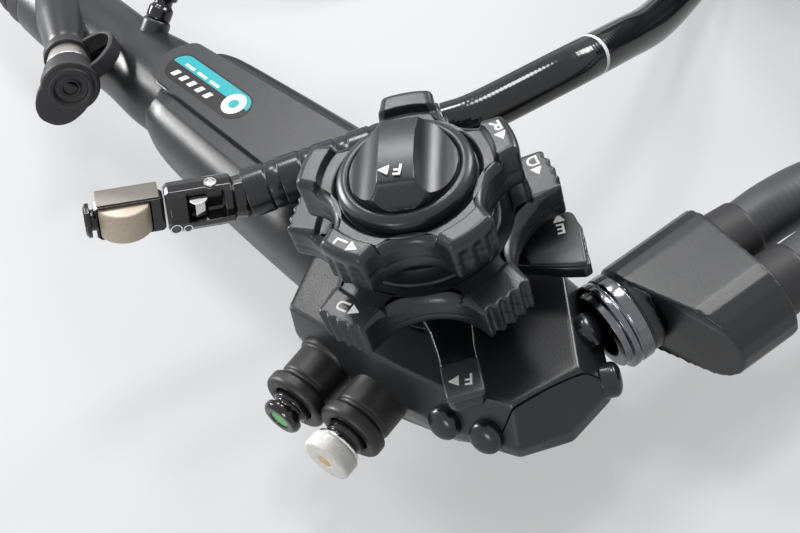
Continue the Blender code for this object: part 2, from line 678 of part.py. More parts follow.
def grip():
    # Each section: where it is, its half width, its lowest and its highest point
    sections = ((HEAD_LEFT - GAP, 20.0, 6.0, GRIP_TOP), (-45, 19.6, 5.5, GRIP_TOP),
                (-66, 18.5, 5.5, GRIP_TOP), (-90, 16.9, 6.5, GRIP_TOP),
                (-106, 15.5, 7.5, GRIP_TOP), (GRIP_END, 14.4, 8.2, GRIP_TOP - 0.8))
    rings = [grip_section(*section) for section in sections]
    node = finish("grip_shell", loft(rings), black_shell(), 30)
    outline = [(-34, -5.5), (-34, 17.5), (-56, 17.0), (-115.4, 13.6), (-118.9, 8.5), (-118.9, 4.0),
               (-116.4, -0.5), (-65, -1.8)]
    panel = prism(outline, PANEL_TOP - 1.5, PANEL_TOP)
    finish("grip_panel", panel, black_shell(), 30)
    return node


def neck_sleeve():
    centre = Vector((0, GRIP_Y, GRIP_Z))
    rings = []
    stations = ((GRIP_END - GAP, 11.9), (-124, SLEEVE_RADIUS), (-143, 10.8), (-172, 11.2), (NECK_END, 10.4))
    for x, radius in stations:
        fuller = 1.0 + SLEEVE_FULLNESS / radius
        ring = []
        for aside, rise, _ in circle(radius, 0, 20):
            ring.append((x, centre.y + aside * (fuller if aside > 0 else 1.0), centre.z + rise))
        rings.append(ring)
    node = finish("neck_sleeve", loft(rings), black_shell(), 40)
    port = PORT_SEAT
    throat = PORT_RADIUS - 1.3
    mouth = PORT_COLLAR_START - GAP
    nose = turned([(0, 2), (7.6, 2), (7.4, 14), (6.4, 22), (throat + 0.4, PORT_COLLAR_START - 3),
                   (throat, PORT_COLLAR_START - 2), (throat, mouth), (0, mouth)], 20)
    combine(node, place(nose, port, PORT_WAY), "UNION")

    bead = PORT_COLLAR_START + 2.0
    barrel = [(0, PORT_COLLAR_START), (throat - 0.3, PORT_COLLAR_START), (throat + 0.2, bead),
              (PORT_RADIUS - 0.2, PORT_COLLAR_END - 1.5), (PORT_RADIUS, PORT_COLLAR_END)]
    barrel.append((0, PORT_COLLAR_END))
    collar = turned(barrel, 20)
    finish("port_collar", place(collar, port, PORT_WAY), steel())
    start = PORT_COLLAR_END + GAP
    flange = PORT_CAP_END - 3.2
    lip = PORT_CAP_END - 0.8
    wide = PORT_RADIUS + 1.0
    neck = PORT_RADIUS + 0.3
    seal = turned([(0, start), (neck, start), (neck, flange), (wide, flange), (wide, lip), (PORT_RADIUS, lip),
                   (PORT_RADIUS - 0.2, PORT_CAP_END), (2.5, PORT_CAP_END), (2.1, PORT_CAP_END - 1.6),
                   (0, PORT_CAP_END - 1.6)], 24)
    cap = finish("port_seal", place(seal, port, PORT_WAY), soft_rubber())
    corner = [(4.6, -10.6), (6.3, -7.0)]
    tab = [(-2.2, -11.9), (2.2, -11.9)] + corner + arc((0, 0), wide - 0.1, -15, 195, 12)
    tab += [(-x, y) for x, y in reversed(corner)]
    plate = prism(tab, flange + 0.2, lip - 0.2)
    tab_turn = Matrix.Rotation(math.radians(PORT_TAB_TURN), 3, "Z")
    bmesh.ops.rotate(plate, cent=(0, 0, 0), matrix=tab_turn, verts=plate.verts)
    combine(cap, place(plate, port, PORT_WAY), "UNION")

    aux = Vector((AUX_X, GRIP_Y, GRIP_Z))
    spout = turned([(0, 10.0), (3.6, 10.0), (2.9, 14.5), (2.4, 15.0), (2.4, 20.0), (3.0, 20.6),
                    (3.0, 24.0), (0, 24.0)], 14)
    combine(node, place(rod(3.9, 4.0, 15.2, 14), aux, AUX_WAY), "UNION")
    bmesh.ops.translate(spout, vec=(0, 0, 5.6), verts=spout.verts)
    finish("jet_port", place(spout, aux, AUX_WAY), steel())


def tube_boot():
    core = TUBE_DIAMETER / 2
    length = NECK_END - BOOT_END
    shoulder = 7.0
    rib_count = 5
    pitch = (length - shoulder - 2.0) / rib_count
    profile = [(0, GAP), (9.8, GAP), (9.8, shoulder)]
    for k in range(rib_count):
        z = shoulder + pitch * (k + 0.2)
        radius = 9.2 - 0.75 * k
        profile += [(radius, z), (radius, z + pitch * 0.45), (radius - 1.0, z + pitch * 0.57),
                    (radius - 1.0, z + pitch * 0.8)]
    profile += [(core + 0.2, length), (0, length)]
    boot = turned(profile, 14)
    finish("tube_boot", place(boot, (NECK_END, GRIP_Y, GRIP_Z), (-1, 0, 0)), soft_rubber())


# Bending section and distal end

def bend_point(reach):
    """Point on the bending section's line; reach is measured from its distal end."""
    return BEND_END + direction(BEND_WAY) * reach


def ball(steps=3):
    shoulder = 69.0
    points = [(0, -BALL_RADIUS)]
    for i in range(1, steps + 2):
        angle = math.radians(180 - (180 - shoulder) * i / (steps + 1))
        points.append((BALL_RADIUS * math.sin(angle), BALL_RADIUS * math.cos(angle)))
    return points


def cup(length, steps=3):
    edge = 65.0
    points = []
    for i in range(steps + 1):
        angle = math.radians(180 - edge + edge * i / (steps + 1))
        points.append((CUP_RADIUS * math.sin(angle), length + CUP_RADIUS * math.cos(angle)))
    points.append((0, length - CUP_RADIUS))
    return points


def hinge_reach(number):
    """Reach of a hinge, counted from the tip's own hinge back towards the tube."""
    return 2.0 + BEND_PITCH * number


def bending_section():
    towards_tip = -direction(BEND_WAY)
    last = hinge_reach(BEND_HINGES - 1)
    base_length = BEND_BASE_LENGTH
    base = turned([(0, -base_length), (BEND_RADIUS - 0.4, -base_length), (BEND_RADIUS, -base_length + 1.5),
                   (BEND_RADIUS, -3.2)] + cup(0.0), 14)
    finish("bending_base", place(base, bend_point(last), towards_tip), soft_rubber())
    for number in range(1, BEND_HINGES):
        start = hinge_reach(BEND_HINGES - number)
        profile = ball() + [(BEND_RADIUS, 2.5), (BEND_RADIUS, BEND_PITCH - 3.2)] + cup(BEND_PITCH)
        link = turned(profile, 14)
        finish("bending_link_%d" % number, place(link, bend_point(start), towards_tip), soft_rubber(),
               pivot=bend_point(start))


def tip_frame():
    """Origin at the last hinge, way to the tip, side the lens looks to, and the tip's own up."""
    pitch = math.radians(TIP_PITCH)
    way = -direction(BEND_WAY) * math.cos(pitch) + Vector((0, 0, math.sin(pitch)))
    face = Vector((-way.y, way.x, 0)).normalized()
    return bend_point(hinge_reach(0)), way, face, way.cross(face)


def on_tip(mesh_data):
    """Carry a mesh built as (along, towards the lens side, up) to the tip's place."""
    origin, way, face, rise = tip_frame()
    turn = Matrix((way, face, rise)).transposed().to_4x4()
    bmesh.ops.transform(mesh_data, matrix=Matrix.Translation(origin) @ turn, verts=mesh_data.verts)
    return mesh_data


def tip_turned(profile, sides, start, way):
    """Turned body in the tip's own frame, along way from start."""
    return on_tip(place(turned(profile, sides), start, way))


def distal_end():
    origin = tip_frame()[0]
    radius = BEND_RADIUS
    length = TIP_BODY_LENGTH
    along = (1, 0, 0)
    body = tip_turned(ball() + [(radius, 2.5), (radius + 0.1, 6.0), (radius + 0.1, length - 1.0),
                                (radius - 0.8, length), (0, length)], 18, (0, 0, 0), along)
    node = finish("distal_body", body, gloss_black(), pivot=origin)
    window = (4.4, 13.4)
    floor = 2.0
    low = -0.5
    combine(node, on_tip(rounded_box((window[1] - window[0], 8.0, 8.0),
                                     (sum(window) / 2, floor + 4.0, low + 4.0), 0.5, 1)), "DIFFERENCE")

    back = length + GAP
    front = back + HOUSING_LENGTH
    wall = 0.8
    half = LENS_WIDTH / 2 + wall
    section = [(-4.6, -2.2), (-1.5, -half), (2.0, -half), (2.0, half), (-1.5, half), (-4.6, 2.2)]
    rings = [[(x, y * share, z * share) for y, z in section]
             for x, share in ((back, 0.88), (back + 0.8, 1.0), (front - 1.0, 1.0), (front, 0.84))]
    shell = finish("transducer_housing", on_tip(loft(rings)), gloss_black(), 35, origin)
    nub = [(0, front - 0.5), (2.6, front - 0.5), (2.6, front + 1.0), (4.2, front + 1.0), (4.2, front + 1.9),
           (3.4, front + 2.5), (0, front + 2.5)]
    combine(shell, tip_turned(nub, 16, (0, 0, 0), along), "UNION")

    outline = lens_outline()
    seat = inset(outline, -GAP)
    combine(shell, on_tip(prism(seat, -LENS_WIDTH / 2 - GAP, LENS_WIDTH / 2 + GAP)), "DIFFERENCE")
    lens = on_tip(prism(outline, -LENS_WIDTH / 2, LENS_WIDTH / 2))
    finish("acoustic_lens", lens, lens_resin(), 25, origin)

    ramp = (window[0] + 4.0, window[1] - 0.7)
    under = floor + GAP
    top = 4.9
    side = [(ramp[0], under), (ramp[1], under), (ramp[1], top - 1.2), (ramp[1] - 1.2, top),
            (ramp[0] + 0.8, top - 0.6), (ramp[0], top - 1.6)]
    hinge = tip_point(ramp[0] + 0.8, under + 0.8, 2.0)
    finish("elevator", on_tip(prism(side, 0.0, 4.4)), steel(), pivot=hinge)


def tip_point(along, aside, lift):
    origin, way, face, rise = tip_frame()
    return origin + way * along + face * aside + rise * lift


def lens_outline():
    """Bowed slab seen from above: an arc towards the lens side and a straight back, counterclockwise."""
    half = math.degrees(math.asin(LENS_LENGTH / 2 / LENS_CURVE))
    centre = (LENS_MIDDLE, LENS_PROUD - LENS_CURVE)
    back = centre[1] + math.cos(math.radians(half)) * LENS_CURVE - 2.6
    ends = LENS_LENGTH / 2
    straight = [(LENS_MIDDLE - ends, back), (LENS_MIDDLE + ends, back)]
    return arc(centre, LENS_CURVE, 90 - half, 90 + half, 10) + straight


def cut_lens_seats():
    """Round pockets for the objective, the light guide and the nozzle, with their inserts."""
    body = bpy.data.objects["distal_body"]
    pivot = tip_frame()[0]
    depth = 3.0
    crown = BEND_RADIUS + 0.1
    inserts = (("objective_lens", (16.7, 0, -1.7), (0, 1, 0), 1.15, glass_lens()),
               ("light_lens", (13.9, 0, -2.2), (0, 1, 0), 0.85, glass_lens()),
               ("water_nozzle", (7.2, 0, 0), (0, 0, 1), 1.2, steel()))
    for name, start, way, radius, surface in inserts:
        proud = math.sqrt(crown ** 2 - start[2] ** 2) + 0.1
        insert = tip_turned([(0, depth), (radius, depth), (radius, proud - 0.2), (0, proud)], 12, start, way)
        wide = radius + GAP
        pocket = tip_turned([(0, depth - GAP), (wide, depth - GAP), (wide, 9.0), (0, 9.0)], 12, start, way)
        combine(body, pocket, "DIFFERENCE")
        finish(name, insert, surface, pivot=pivot)


# Cords and coils

def smooth_points(route, spacing):
    """Points on a smooth curve through the route's own points, straight at both of its ends."""
    knots = [Vector(point) for point in route]
    dense = []
    count = len(knots)
    for i in range(1, count - 2):
        before, here, there, after = knots[i - 1], knots[i], knots[i + 1], knots[i + 2]
        for step in range(20):
            t = step / 20
            square = 2 * before - 5 * here + 4 * there - after
            cube = 3 * here - before - 3 * there + after
            dense.append(0.5 * (2 * here + (there - before) * t + square * t * t + cube * t ** 3))
    dense.append(knots[-2])
    picked = [knots[0], knots[1]]
    walked = 0.0
    for here, there in zip(dense, dense[1:]):
        walked += (there - here).length
        if walked >= spacing:
            picked.append(there)
            walked = 0.0
    if (picked[-1] - knots[-2]).length < spacing * 0.5:
        picked.pop()
    return picked + [knots[-2], knots[-1]]


def cord_tube(name, route, diameter, surface, sides=3):
    curve = bpy.data.curves.new(name, "CURVE")
    curve.dimensions = "3D"
    curve.bevel_depth = diameter / 2 * MM
    curve.bevel_resolution = sides
    curve.use_fill_caps = True
    points = smooth_points(route, diameter * 2.4)
    spline = curve.splines.new("POLY")
    spline.points.add(len(points) - 1)
    for place_on, point in zip(spline.points, points):
        height = max(point.z, diameter / 2)
        place_on.co = (point.x * MM, point.y * MM, height * MM, 1.0)
    node = bpy.data.objects.new(name, curve)
    bpy.context.scene.collection.objects.link(node)
    curve.materials.append(surface)
    return node


def coil_ring(name, coil, diameter, surface):
    """Outer form of a coil: two turns side by side and one on top of them."""
    x, y, radius, base = coil
    half = diameter
    top = diameter * (1 + LAYER)
    profile = [(radius - half, 0.0), (radius + half, 0.0), (radius + half, diameter),
               (radius + half / 2, top), (radius - half / 2, top), (radius - half, diameter)]
    ring = turned(profile, 40)
    bmesh.ops.translate(ring, vec=(x, y, base), verts=ring.verts)
    return finish(name, ring, surface)


def beside(coil, diameter, angle, way, back=0.0):
    """Place where a cord at a coil's foot meets its outer side, and a step back along the cord."""
    x, y, radius, base = coil
    slant = abs(math.cos(math.radians(way - angle - 90)))
    reach = radius + diameter * (1 + slant / 2) + 0.5 * GAP
    meet = Vector((x, y, base + diameter / 2)) + direction(angle) * reach
    return tuple(meet - direction(way) * back)


def insertion_routes():
    boot = Vector((BOOT_END - 2 * GAP, GRIP_Y, GRIP_Z))
    lead = [boot, boot - Vector((6, 0, 0)), (-252, 5.6, 17.2), (-264, 12.5, 12.4), (-272.5, 25, 7.6),
            (-275, 41, FLOOR_TUBE), (-272.5, 58, FLOOR_TUBE), (-266.5, 74.5, FLOOR_TUBE),
            beside(TUBE_COIL, TUBE_DIAMETER, 187, 64, 8), beside(TUBE_COIL, TUBE_DIAMETER, 187, 64)]
    near = bend_point(hinge_reach(BEND_HINGES - 1) + BEND_BASE_LENGTH + 2 * GAP)
    step = direction(BEND_WAY)
    run = [beside(TUBE_COIL, TUBE_DIAMETER, 57, 0), beside(TUBE_COIL, TUBE_DIAMETER, 57, 0, -8),
           (-118, 172.5, FLOOR_TUBE), (-100, 167, FLOOR_TUBE), (-82, 159, FLOOR_TUBE),
           (-66, 148.5, FLOOR_TUBE), (-52.5, 138, 6.0),
           (-42.5, 126, 8.4), (-35.5, 111, 13.6), (-29.4, 97, 20.5), (-25, 84, 28.4), (-22, 71, 35.0),
           (-21.4, 60, 38.8),
           near + step * 8, near]
    return lead, run


def tail_route(coil, plug):
    """The short straight end of a cord, from the last turn of its coil to its connector."""
    x, y, height = plug
    leaving = Vector(beside(coil, CORD_DIAMETER, 130, 180))
    leaving.z = height
    end = Vector((x + 2 * GAP, leaving.y, height))
    return [leaving, leaving - Vector((6, 0, 0)), end + Vector((12, 0, 0)), end + Vector((6, 0, 0)), end]


def guide_routes():
    start = umbilical_point(BRANCH_FAR + CORD_BOOT_LENGTH + 2 * GAP)
    way = direction(UMBILICAL_ANGLE)
    lead = [start, start + way * 8, start + way * 22 + Vector((0, 0, -3)),
            start + way * 42 + Vector((2, 0, -10.5)), (49.5, 122, FLOOR_CORD + 1.4), (52, 145, FLOOR_CORD),
            (54.2, 165, FLOOR_CORD),
            beside(GUIDE_COIL, CORD_DIAMETER, -24, 76, 9), beside(GUIDE_COIL, CORD_DIAMETER, -24, 76)]
    return lead, tail_route(GUIDE_COIL, GUIDE_PLUG)


def scan_routes():
    start = umbilical_point(BRANCH_FAR + CORD_BOOT_LENGTH + 2 * GAP, BRANCH_SPACING)
    way = direction(UMBILICAL_ANGLE)
    lead = [start, start + way * 8, start + way * 20 + Vector((0, 0, -0.5)),
            (60.9, 97, 25.7), (62.8, 122, 28.5), (64, 148, 32.0), (64.4, 172, 34.8),
            beside(SCAN_COIL, CORD_DIAMETER, -6, 90, 9), beside(SCAN_COIL, CORD_DIAMETER, -6, 90)]
    return lead, tail_route(SCAN_COIL, SCAN_PLUG)


def cords():
    lead, run = insertion_routes()
    cord_tube("insertion_lead", lead, TUBE_DIAMETER, gloss_black())
    cord_tube("insertion_tube", run, TUBE_DIAMETER, gloss_black())
    coil_ring("insertion_coil", TUBE_COIL, TUBE_DIAMETER, gloss_black())
    lead, tail = guide_routes()
    cord_tube("light_guide_cord", lead, CORD_DIAMETER, soft_rubber())
    cord_tube("light_guide_tail", tail, CORD_DIAMETER, soft_rubber())
    coil_ring("light_guide_coil", GUIDE_COIL, CORD_DIAMETER, soft_rubber())
    lead, tail = scan_routes()
    cord_tube("scan_cord", lead, CORD_DIAMETER, soft_rubber())
    cord_tube("scan_tail", tail, CORD_DIAMETER, soft_rubber())
    coil_ring("scan_coil", SCAN_COIL, CORD_DIAMETER, soft_rubber())


# Connectors at the cords' far ends

def connector_body(name, size, plug, radius):
    """Rounded body with a short boot where the cord goes in; returns it and where its far face is."""
    x, y, height = plug
    body = rounded_box(size, (x - PLUG_BOOT - size[0] / 2, y, height), radius, 2)
    node = finish(name, body, black_shell(), 40)
    boot = turned([(0, 0), (8.2, 0), (10.2, PLUG_BOOT + 1.7), (0, PLUG_BOOT + 1.7)], 16)
    combine(node, place(boot, plug, PLUG_WAY), "UNION")
    return PLUG_BOOT + size[0] + GAP


def light_guide_connector():
    x, y, height = GUIDE_PLUG
    face = connector_body("light_guide_connector", GUIDE_BODY, GUIDE_PLUG, 7.0)
    pin = turned([(0, face), (13.0, face), (13.0, face + 5), (4.6, face + 6), (4.6, face + 26),
                  (4.0, face + 27), (0, face + 27)], 18)
    plug = finish("light_guide_plug", place(pin, GUIDE_PLUG, PLUG_WAY), steel())
    for angle in (60, 180, 300):
        aside = direction(angle) * 9.4
        contact = place(rod(2.0, face + 1, face + 13, 10), (x, y + aside.x, height + aside.y), PLUG_WAY)
        combine(plug, contact, "UNION")


def scan_connector():
    x, y, height = SCAN_PLUG
    face = connector_body("scan_connector", SCAN_BODY, SCAN_PLUG, 4.0)
    pad = rounded_box((36.0, 22.0, 7.0), (0, 0, 3.5), 0.8, 1)
    finish("scan_contact_block", place(pad, (x - face, y, height), PLUG_WAY), steel(), 30)
    lock_x = x - PLUG_BOOT - SCAN_BODY[0] / 2
    lock_z = height + SCAN_BODY[2] / 2 + GAP
    lock = turned([(0, lock_z), (11.0, lock_z), (11.0, lock_z + 3.0), (0, lock_z + 3.0)], 20)
    bmesh.ops.translate(lock, vec=(lock_x, y, 0), verts=lock.verts)
    node = finish("connector_lock", lock, dark_knob(), pivot=(lock_x, y, lock_z))
    handle = rounded_box((20.0, 4.6, 5.4), (lock_x, y, lock_z + 4.6), 1.0, 1)
    combine(node, handle, "UNION")


def main():
    clear_scene()
    head_shells()
    inner_frame()
    knob_stack()
    valve_cylinders()
    suction_button()
    air_water_button()
    remote_buttons()
    umbilical()
    grip()
    neck_sleeve()
    tube_boot()
    bending_section()
    distal_end()
    cut_lens_seats()
    cords()
    light_guide_connector()
    scan_connector()


main()
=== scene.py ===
import math

import bmesh
import bpy
import numpy as np
from mathutils import Matrix, Vector


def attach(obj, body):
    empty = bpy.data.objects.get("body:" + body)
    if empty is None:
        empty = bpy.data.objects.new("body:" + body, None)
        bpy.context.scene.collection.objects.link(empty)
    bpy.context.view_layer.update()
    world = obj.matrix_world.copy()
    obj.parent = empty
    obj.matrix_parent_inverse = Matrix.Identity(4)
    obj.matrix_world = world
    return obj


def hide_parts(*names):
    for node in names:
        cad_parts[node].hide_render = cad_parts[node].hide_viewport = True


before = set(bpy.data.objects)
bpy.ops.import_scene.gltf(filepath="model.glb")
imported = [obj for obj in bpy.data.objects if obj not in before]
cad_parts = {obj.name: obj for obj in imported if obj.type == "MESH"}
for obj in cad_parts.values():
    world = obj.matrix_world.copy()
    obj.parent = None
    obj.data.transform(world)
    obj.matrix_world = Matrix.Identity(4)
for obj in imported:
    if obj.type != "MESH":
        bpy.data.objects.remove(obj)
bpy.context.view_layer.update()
mm = 0.001


# Camera and pale studio, worked out from the photograph's own viewing angle

cameraSettings = {
    "place": (0.2410, -0.1265, 0.3494),
    "back": (0.598, -0.2917, 0.7465),
    "roll": -20.62,
    "focal": 82.24,
}

lightSettings = {
    "aim": (0.0, 0.02, 0.03),
    "lamps": (
        ("leftBox", (-0.72, -0.24, 0.36), 0.26, 6.5),
        ("glowBox", (-0.51, 0.26, 0.71), 0.16, 1.9),
        ("backBox", (0.02, 0.86, 0.46), 0.30, 5.0),
        ("highBox", (-0.20, 0.42, 0.92), 0.24, 3.4),
        ("nearBox", (0.30, -0.80, 0.26), 0.20, 1.6),
    ),
    "ambient": 0.30,
    "background": 0.885,
}
floorSettings = {"reach": 2.5, "height": -0.0004, "colour": (0.30, 0.303, 0.308), "shown": 0.44}
paleLight = (0.985, 0.99, 1.0, 1.0)


def makeCamera(s):
    back = Vector(s["back"]).normalized()
    heading = math.atan2(back.y, back.x) + math.pi / 2
    level = Vector((math.cos(heading), math.sin(heading), 0))
    rise = back.cross(level)
    roll = math.radians(s["roll"])
    right = level * math.cos(roll) + rise * math.sin(roll)
    up = rise * math.cos(roll) - level * math.sin(roll)
    data = bpy.data.cameras.new("photoCamera")
    data.sensor_width = 36.0
    data.lens = s["focal"]
    data.clip_start = 0.01
    camera = bpy.data.objects.new("photoCamera", data)
    turn = Matrix((right, up, back)).transposed().to_4x4()
    camera.matrix_world = Matrix.Translation(s["place"]) @ turn
    bpy.context.scene.collection.objects.link(camera)
    bpy.context.scene.camera = camera


def mathNode(nodes, operation, value=None):
    node = nodes.new("ShaderNodeMath")
    node.operation = operation
    if value is not None:
        node.inputs[1].default_value = value
    return node


def seenDirectly(nodes, links):
    """1 for camera, glossy and transmission rays, 0 for the light that falls on things."""
    path = nodes.new("ShaderNodeLightPath")
    seen = path.outputs["Is Camera Ray"]
    for kind in ("Is Glossy Ray", "Is Transmission Ray"):
        either = mathNode(nodes, "MAXIMUM")
        links.new(seen, either.inputs[0])
        links.new(path.outputs[kind], either.inputs[1])
        seen = either.outputs[0]
    return seen


def makeLights(s):
    aim = Vector(s["aim"])
    for name, place, size, power in s["lamps"]:
        data = bpy.data.lights.new(name, "AREA")
        data.shape = "SQUARE"
        data.size = size
        data.energy = power
        lamp = bpy.data.objects.new(name, data)
        lamp.location = place
        lamp.rotation_euler = (aim - Vector(place)).to_track_quat("-Z", "Y").to_euler()
        bpy.context.scene.collection.objects.link(lamp)
    world = bpy.data.worlds.new("paleStudio")
    world.use_nodes = True
    bpy.context.scene.world = world
    nodes, links = world.node_tree.nodes, world.node_tree.links
    background = nodes["Background"]
    background.inputs["Color"].default_value = paleLight
    level = nodes.new("ShaderNodeMapRange")
    level.inputs["To Min"].default_value = s["ambient"]
    level.inputs["To Max"].default_value = s["background"]
    links.new(seenDirectly(nodes, links), level.inputs["Value"])
    links.new(level.outputs[0], background.inputs["Strength"])
    bpy.context.scene.view_settings.view_transform = "Standard"


def makeFloor(s):
    """Pale table: part of its brightness is given to what the camera sees, the rest is lit and holds the shadow."""
    mesh = bpy.data.meshes.new("paleTable")
    reach = s["reach"]
    corners = ((-reach, -reach), (reach, -reach), (reach, reach), (-reach, reach))
    mesh.from_pydata([(x, y, s["height"]) for x, y in corners], [], [(0, 1, 2, 3)])
    surface = bpy.data.materials.new("paleTable")
    surface.use_nodes = True
    nodes, links = surface.node_tree.nodes, surface.node_tree.links
    shader = nodes["Principled BSDF"]
    shader.inputs["Base Color"].default_value = (*s["colour"], 1.0)
    shader.inputs["Roughness"].default_value = 0.9
    shader.inputs["Specular IOR Level"].default_value = 0.0
    shader.inputs["Emission Color"].default_value = paleLight
    level = mathNode(nodes, "MULTIPLY", s["shown"])
    links.new(seenDirectly(nodes, links), level.inputs[0])
    links.new(level.outputs[0], shader.inputs["Emission Strength"])
    mesh.materials.append(surface)
    table = bpy.data.objects.new("paleTable", mesh)
    bpy.context.scene.collection.objects.link(table)


makeCamera(cameraSettings)
makeLights(lightSettings)
makeFloor(floorSettings)
print("camera and studio ready")


# Shader groups shared by the finishes

def newGroup(name, numbers, outputs):
    group = bpy.data.node_groups.new(name, "ShaderNodeTree")
    for label, value in numbers:
        socket = group.interface.new_socket(label, in_out="INPUT", socket_type="NodeSocketFloat")
        socket.default_value = value
    for label in outputs:
        group.interface.new_socket(label, in_out="OUTPUT", socket_type="NodeSocketFloat")
    start = group.nodes.new("NodeGroupInput")
    end = group.nodes.new("NodeGroupOutput")
    where = group.nodes.new("ShaderNodeTexCoord")
    return group, start, end, where


def makeGrainGroup():
    """Fine moulding grain: two octaves of small noise, and a slow mottle that stands for handling."""
    group, start, end, where = newGroup("mouldGrain", (("Size", 2600.0), ("Patch", 60.0)), ("Grain", "Mottle"))
    links = group.links
    fine = group.nodes.new("ShaderNodeTexNoise")
    fine.inputs["Detail"].default_value = 2.0
    fine.inputs["Roughness"].default_value = 0.65
    slow = group.nodes.new("ShaderNodeTexNoise")
    slow.inputs["Detail"].default_value = 3.0
    links.new(where.outputs["Object"], fine.inputs["Vector"])
    links.new(where.outputs["Object"], slow.inputs["Vector"])
    links.new(start.outputs["Size"], fine.inputs["Scale"])
    links.new(start.outputs["Patch"], slow.inputs["Scale"])
    links.new(fine.outputs["Fac"], end.inputs["Grain"])
    links.new(slow.outputs["Fac"], end.inputs["Mottle"])
    return group


def makeRibGroup():
    """Rings along a cord: a soft wave of the cord's own length coordinate."""
    group, start, end, where = newGroup("cordRibs", (("Pitch", 0.0012),), ("Rib", "Along"))
    links = group.links
    split = group.nodes.new("ShaderNodeSeparateXYZ")
    turns = mathNode(group.nodes, "DIVIDE")
    angle = mathNode(group.nodes, "MULTIPLY", 2 * math.pi)
    wave = mathNode(group.nodes, "SINE")
    links.new(where.outputs["UV"], split.inputs[0])
    links.new(split.outputs["X"], turns.inputs[0])
    links.new(start.outputs["Pitch"], turns.inputs[1])
    links.new(turns.outputs[0], angle.inputs[0])
    links.new(angle.outputs[0], wave.inputs[0])
    links.new(wave.outputs[0], end.inputs["Rib"])
    links.new(split.outputs["X"], end.inputs["Along"])
    return group


grainGroup = makeGrainGroup()
ribGroup = makeRibGroup()


# One dictionary for each finish: colour is darkened and lightened by the mottle, grain goes into the bump

finishes = {
    "mouldedShell": {"colour": (0.013, 0.014, 0.016), "rough": 0.33, "spread": 0.10, "size": 2400.0, "bump": 0.16},
    "knobPlastic": {"colour": (0.015, 0.017, 0.022), "rough": 0.30, "spread": 0.08, "size": 2900.0, "bump": 0.14},
    "capBlack": {"colour": (0.012, 0.013, 0.015), "rough": 0.44, "spread": 0.08, "size": 2600.0, "bump": 0.06},
    "glossBlack": {"colour": (0.010, 0.010, 0.012), "rough": 0.13, "spread": 0.06, "size": 900.0, "bump": 0.01},
    "padGrey": {"colour": (0.036, 0.041, 0.050), "rough": 0.36, "spread": 0.08, "size": 2900.0, "bump": 0.14},
    "leverBlack": {"colour": (0.008, 0.009, 0.011), "rough": 0.24, "spread": 0.08, "size": 2200.0, "bump": 0.04},
    "softRubber": {"colour": (0.014, 0.014, 0.016), "rough": 0.50, "spread": 0.12, "size": 1800.0, "bump": 0.10},
    "sealRubber": {"colour": (0.010, 0.010, 0.011), "rough": 0.44, "spread": 0.10, "size": 1500.0, "bump": 0.05},
    "bendRubber": {"colour": (0.012, 0.014, 0.019), "rough": 0.24, "spread": 0.10, "size": 1200.0, "bump": 0.03},
    "brushedSteel": {"colour": (0.52, 0.50, 0.47), "rough": 0.34, "spread": 0.14, "size": 1500.0, "bump": 0.06,
                     "metal": 1.0},
    "darkChrome": {"colour": (0.16, 0.165, 0.18), "rough": 0.16, "spread": 0.06, "size": 1200.0, "bump": 0.02,
                   "metal": 1.0},
    "brightSteel": {"colour": (0.72, 0.71, 0.70), "rough": 0.12, "spread": 0.08, "size": 1200.0, "bump": 0.02,
                    "metal": 1.0},
    "whiteCap": {"colour": (0.80, 0.79, 0.75), "rough": 0.22, "spread": 0.05, "size": 1200.0, "bump": 0.02},
    "lensResin": {"colour": (0.66, 0.56, 0.43), "rough": 0.28, "spread": 0.06, "size": 1600.0, "bump": 0.02},
    "greyPlate": {"colour": (0.16, 0.145, 0.13), "rough": 0.42, "spread": 0.10, "size": 2600.0, "bump": 0.06,
                  "metal": 0.6},
    "printWhite": {"colour": (0.86, 0.86, 0.84), "rough": 0.45, "spread": 0.05, "size": 3000.0, "bump": 0.02},
    "badgeTeal": {"colour": (0.012, 0.36, 0.40), "rough": 0.25, "spread": 0.04, "size": 1500.0, "bump": 0.01},
    "badgeBlack": {"colour": (0.008, 0.008, 0.009), "rough": 0.22, "spread": 0.04, "size": 1500.0, "bump": 0.01},
    "dotYellow": {"colour": (0.78, 0.50, 0.16), "rough": 0.35, "spread": 0.05, "size": 1500.0, "bump": 0.01},
    "dotGreen": {"colour": (0.10, 0.55, 0.12), "rough": 0.30, "spread": 0.05, "size": 1500.0, "bump": 0.01},
    # Near-black matte colour of the inner frame, darker than the shell: partly its own dark plastic, partly painted
    # shade for what shows through the seams
    "paintedSeamShade": {"colour": (0.004, 0.004, 0.005), "rough": 0.60, "spread": 0.05, "size": 1500.0, "bump": 0.02},
}


def addBump(nodes, links, height, strength, shader):
    relief = nodes.new("ShaderNodeBump")
    relief.inputs["Strength"].default_value = strength
    relief.inputs["Distance"].default_value = 0.2 * mm
    links.new(height, relief.inputs["Height"])
    links.new(relief.outputs[0], shader.inputs["Normal"])


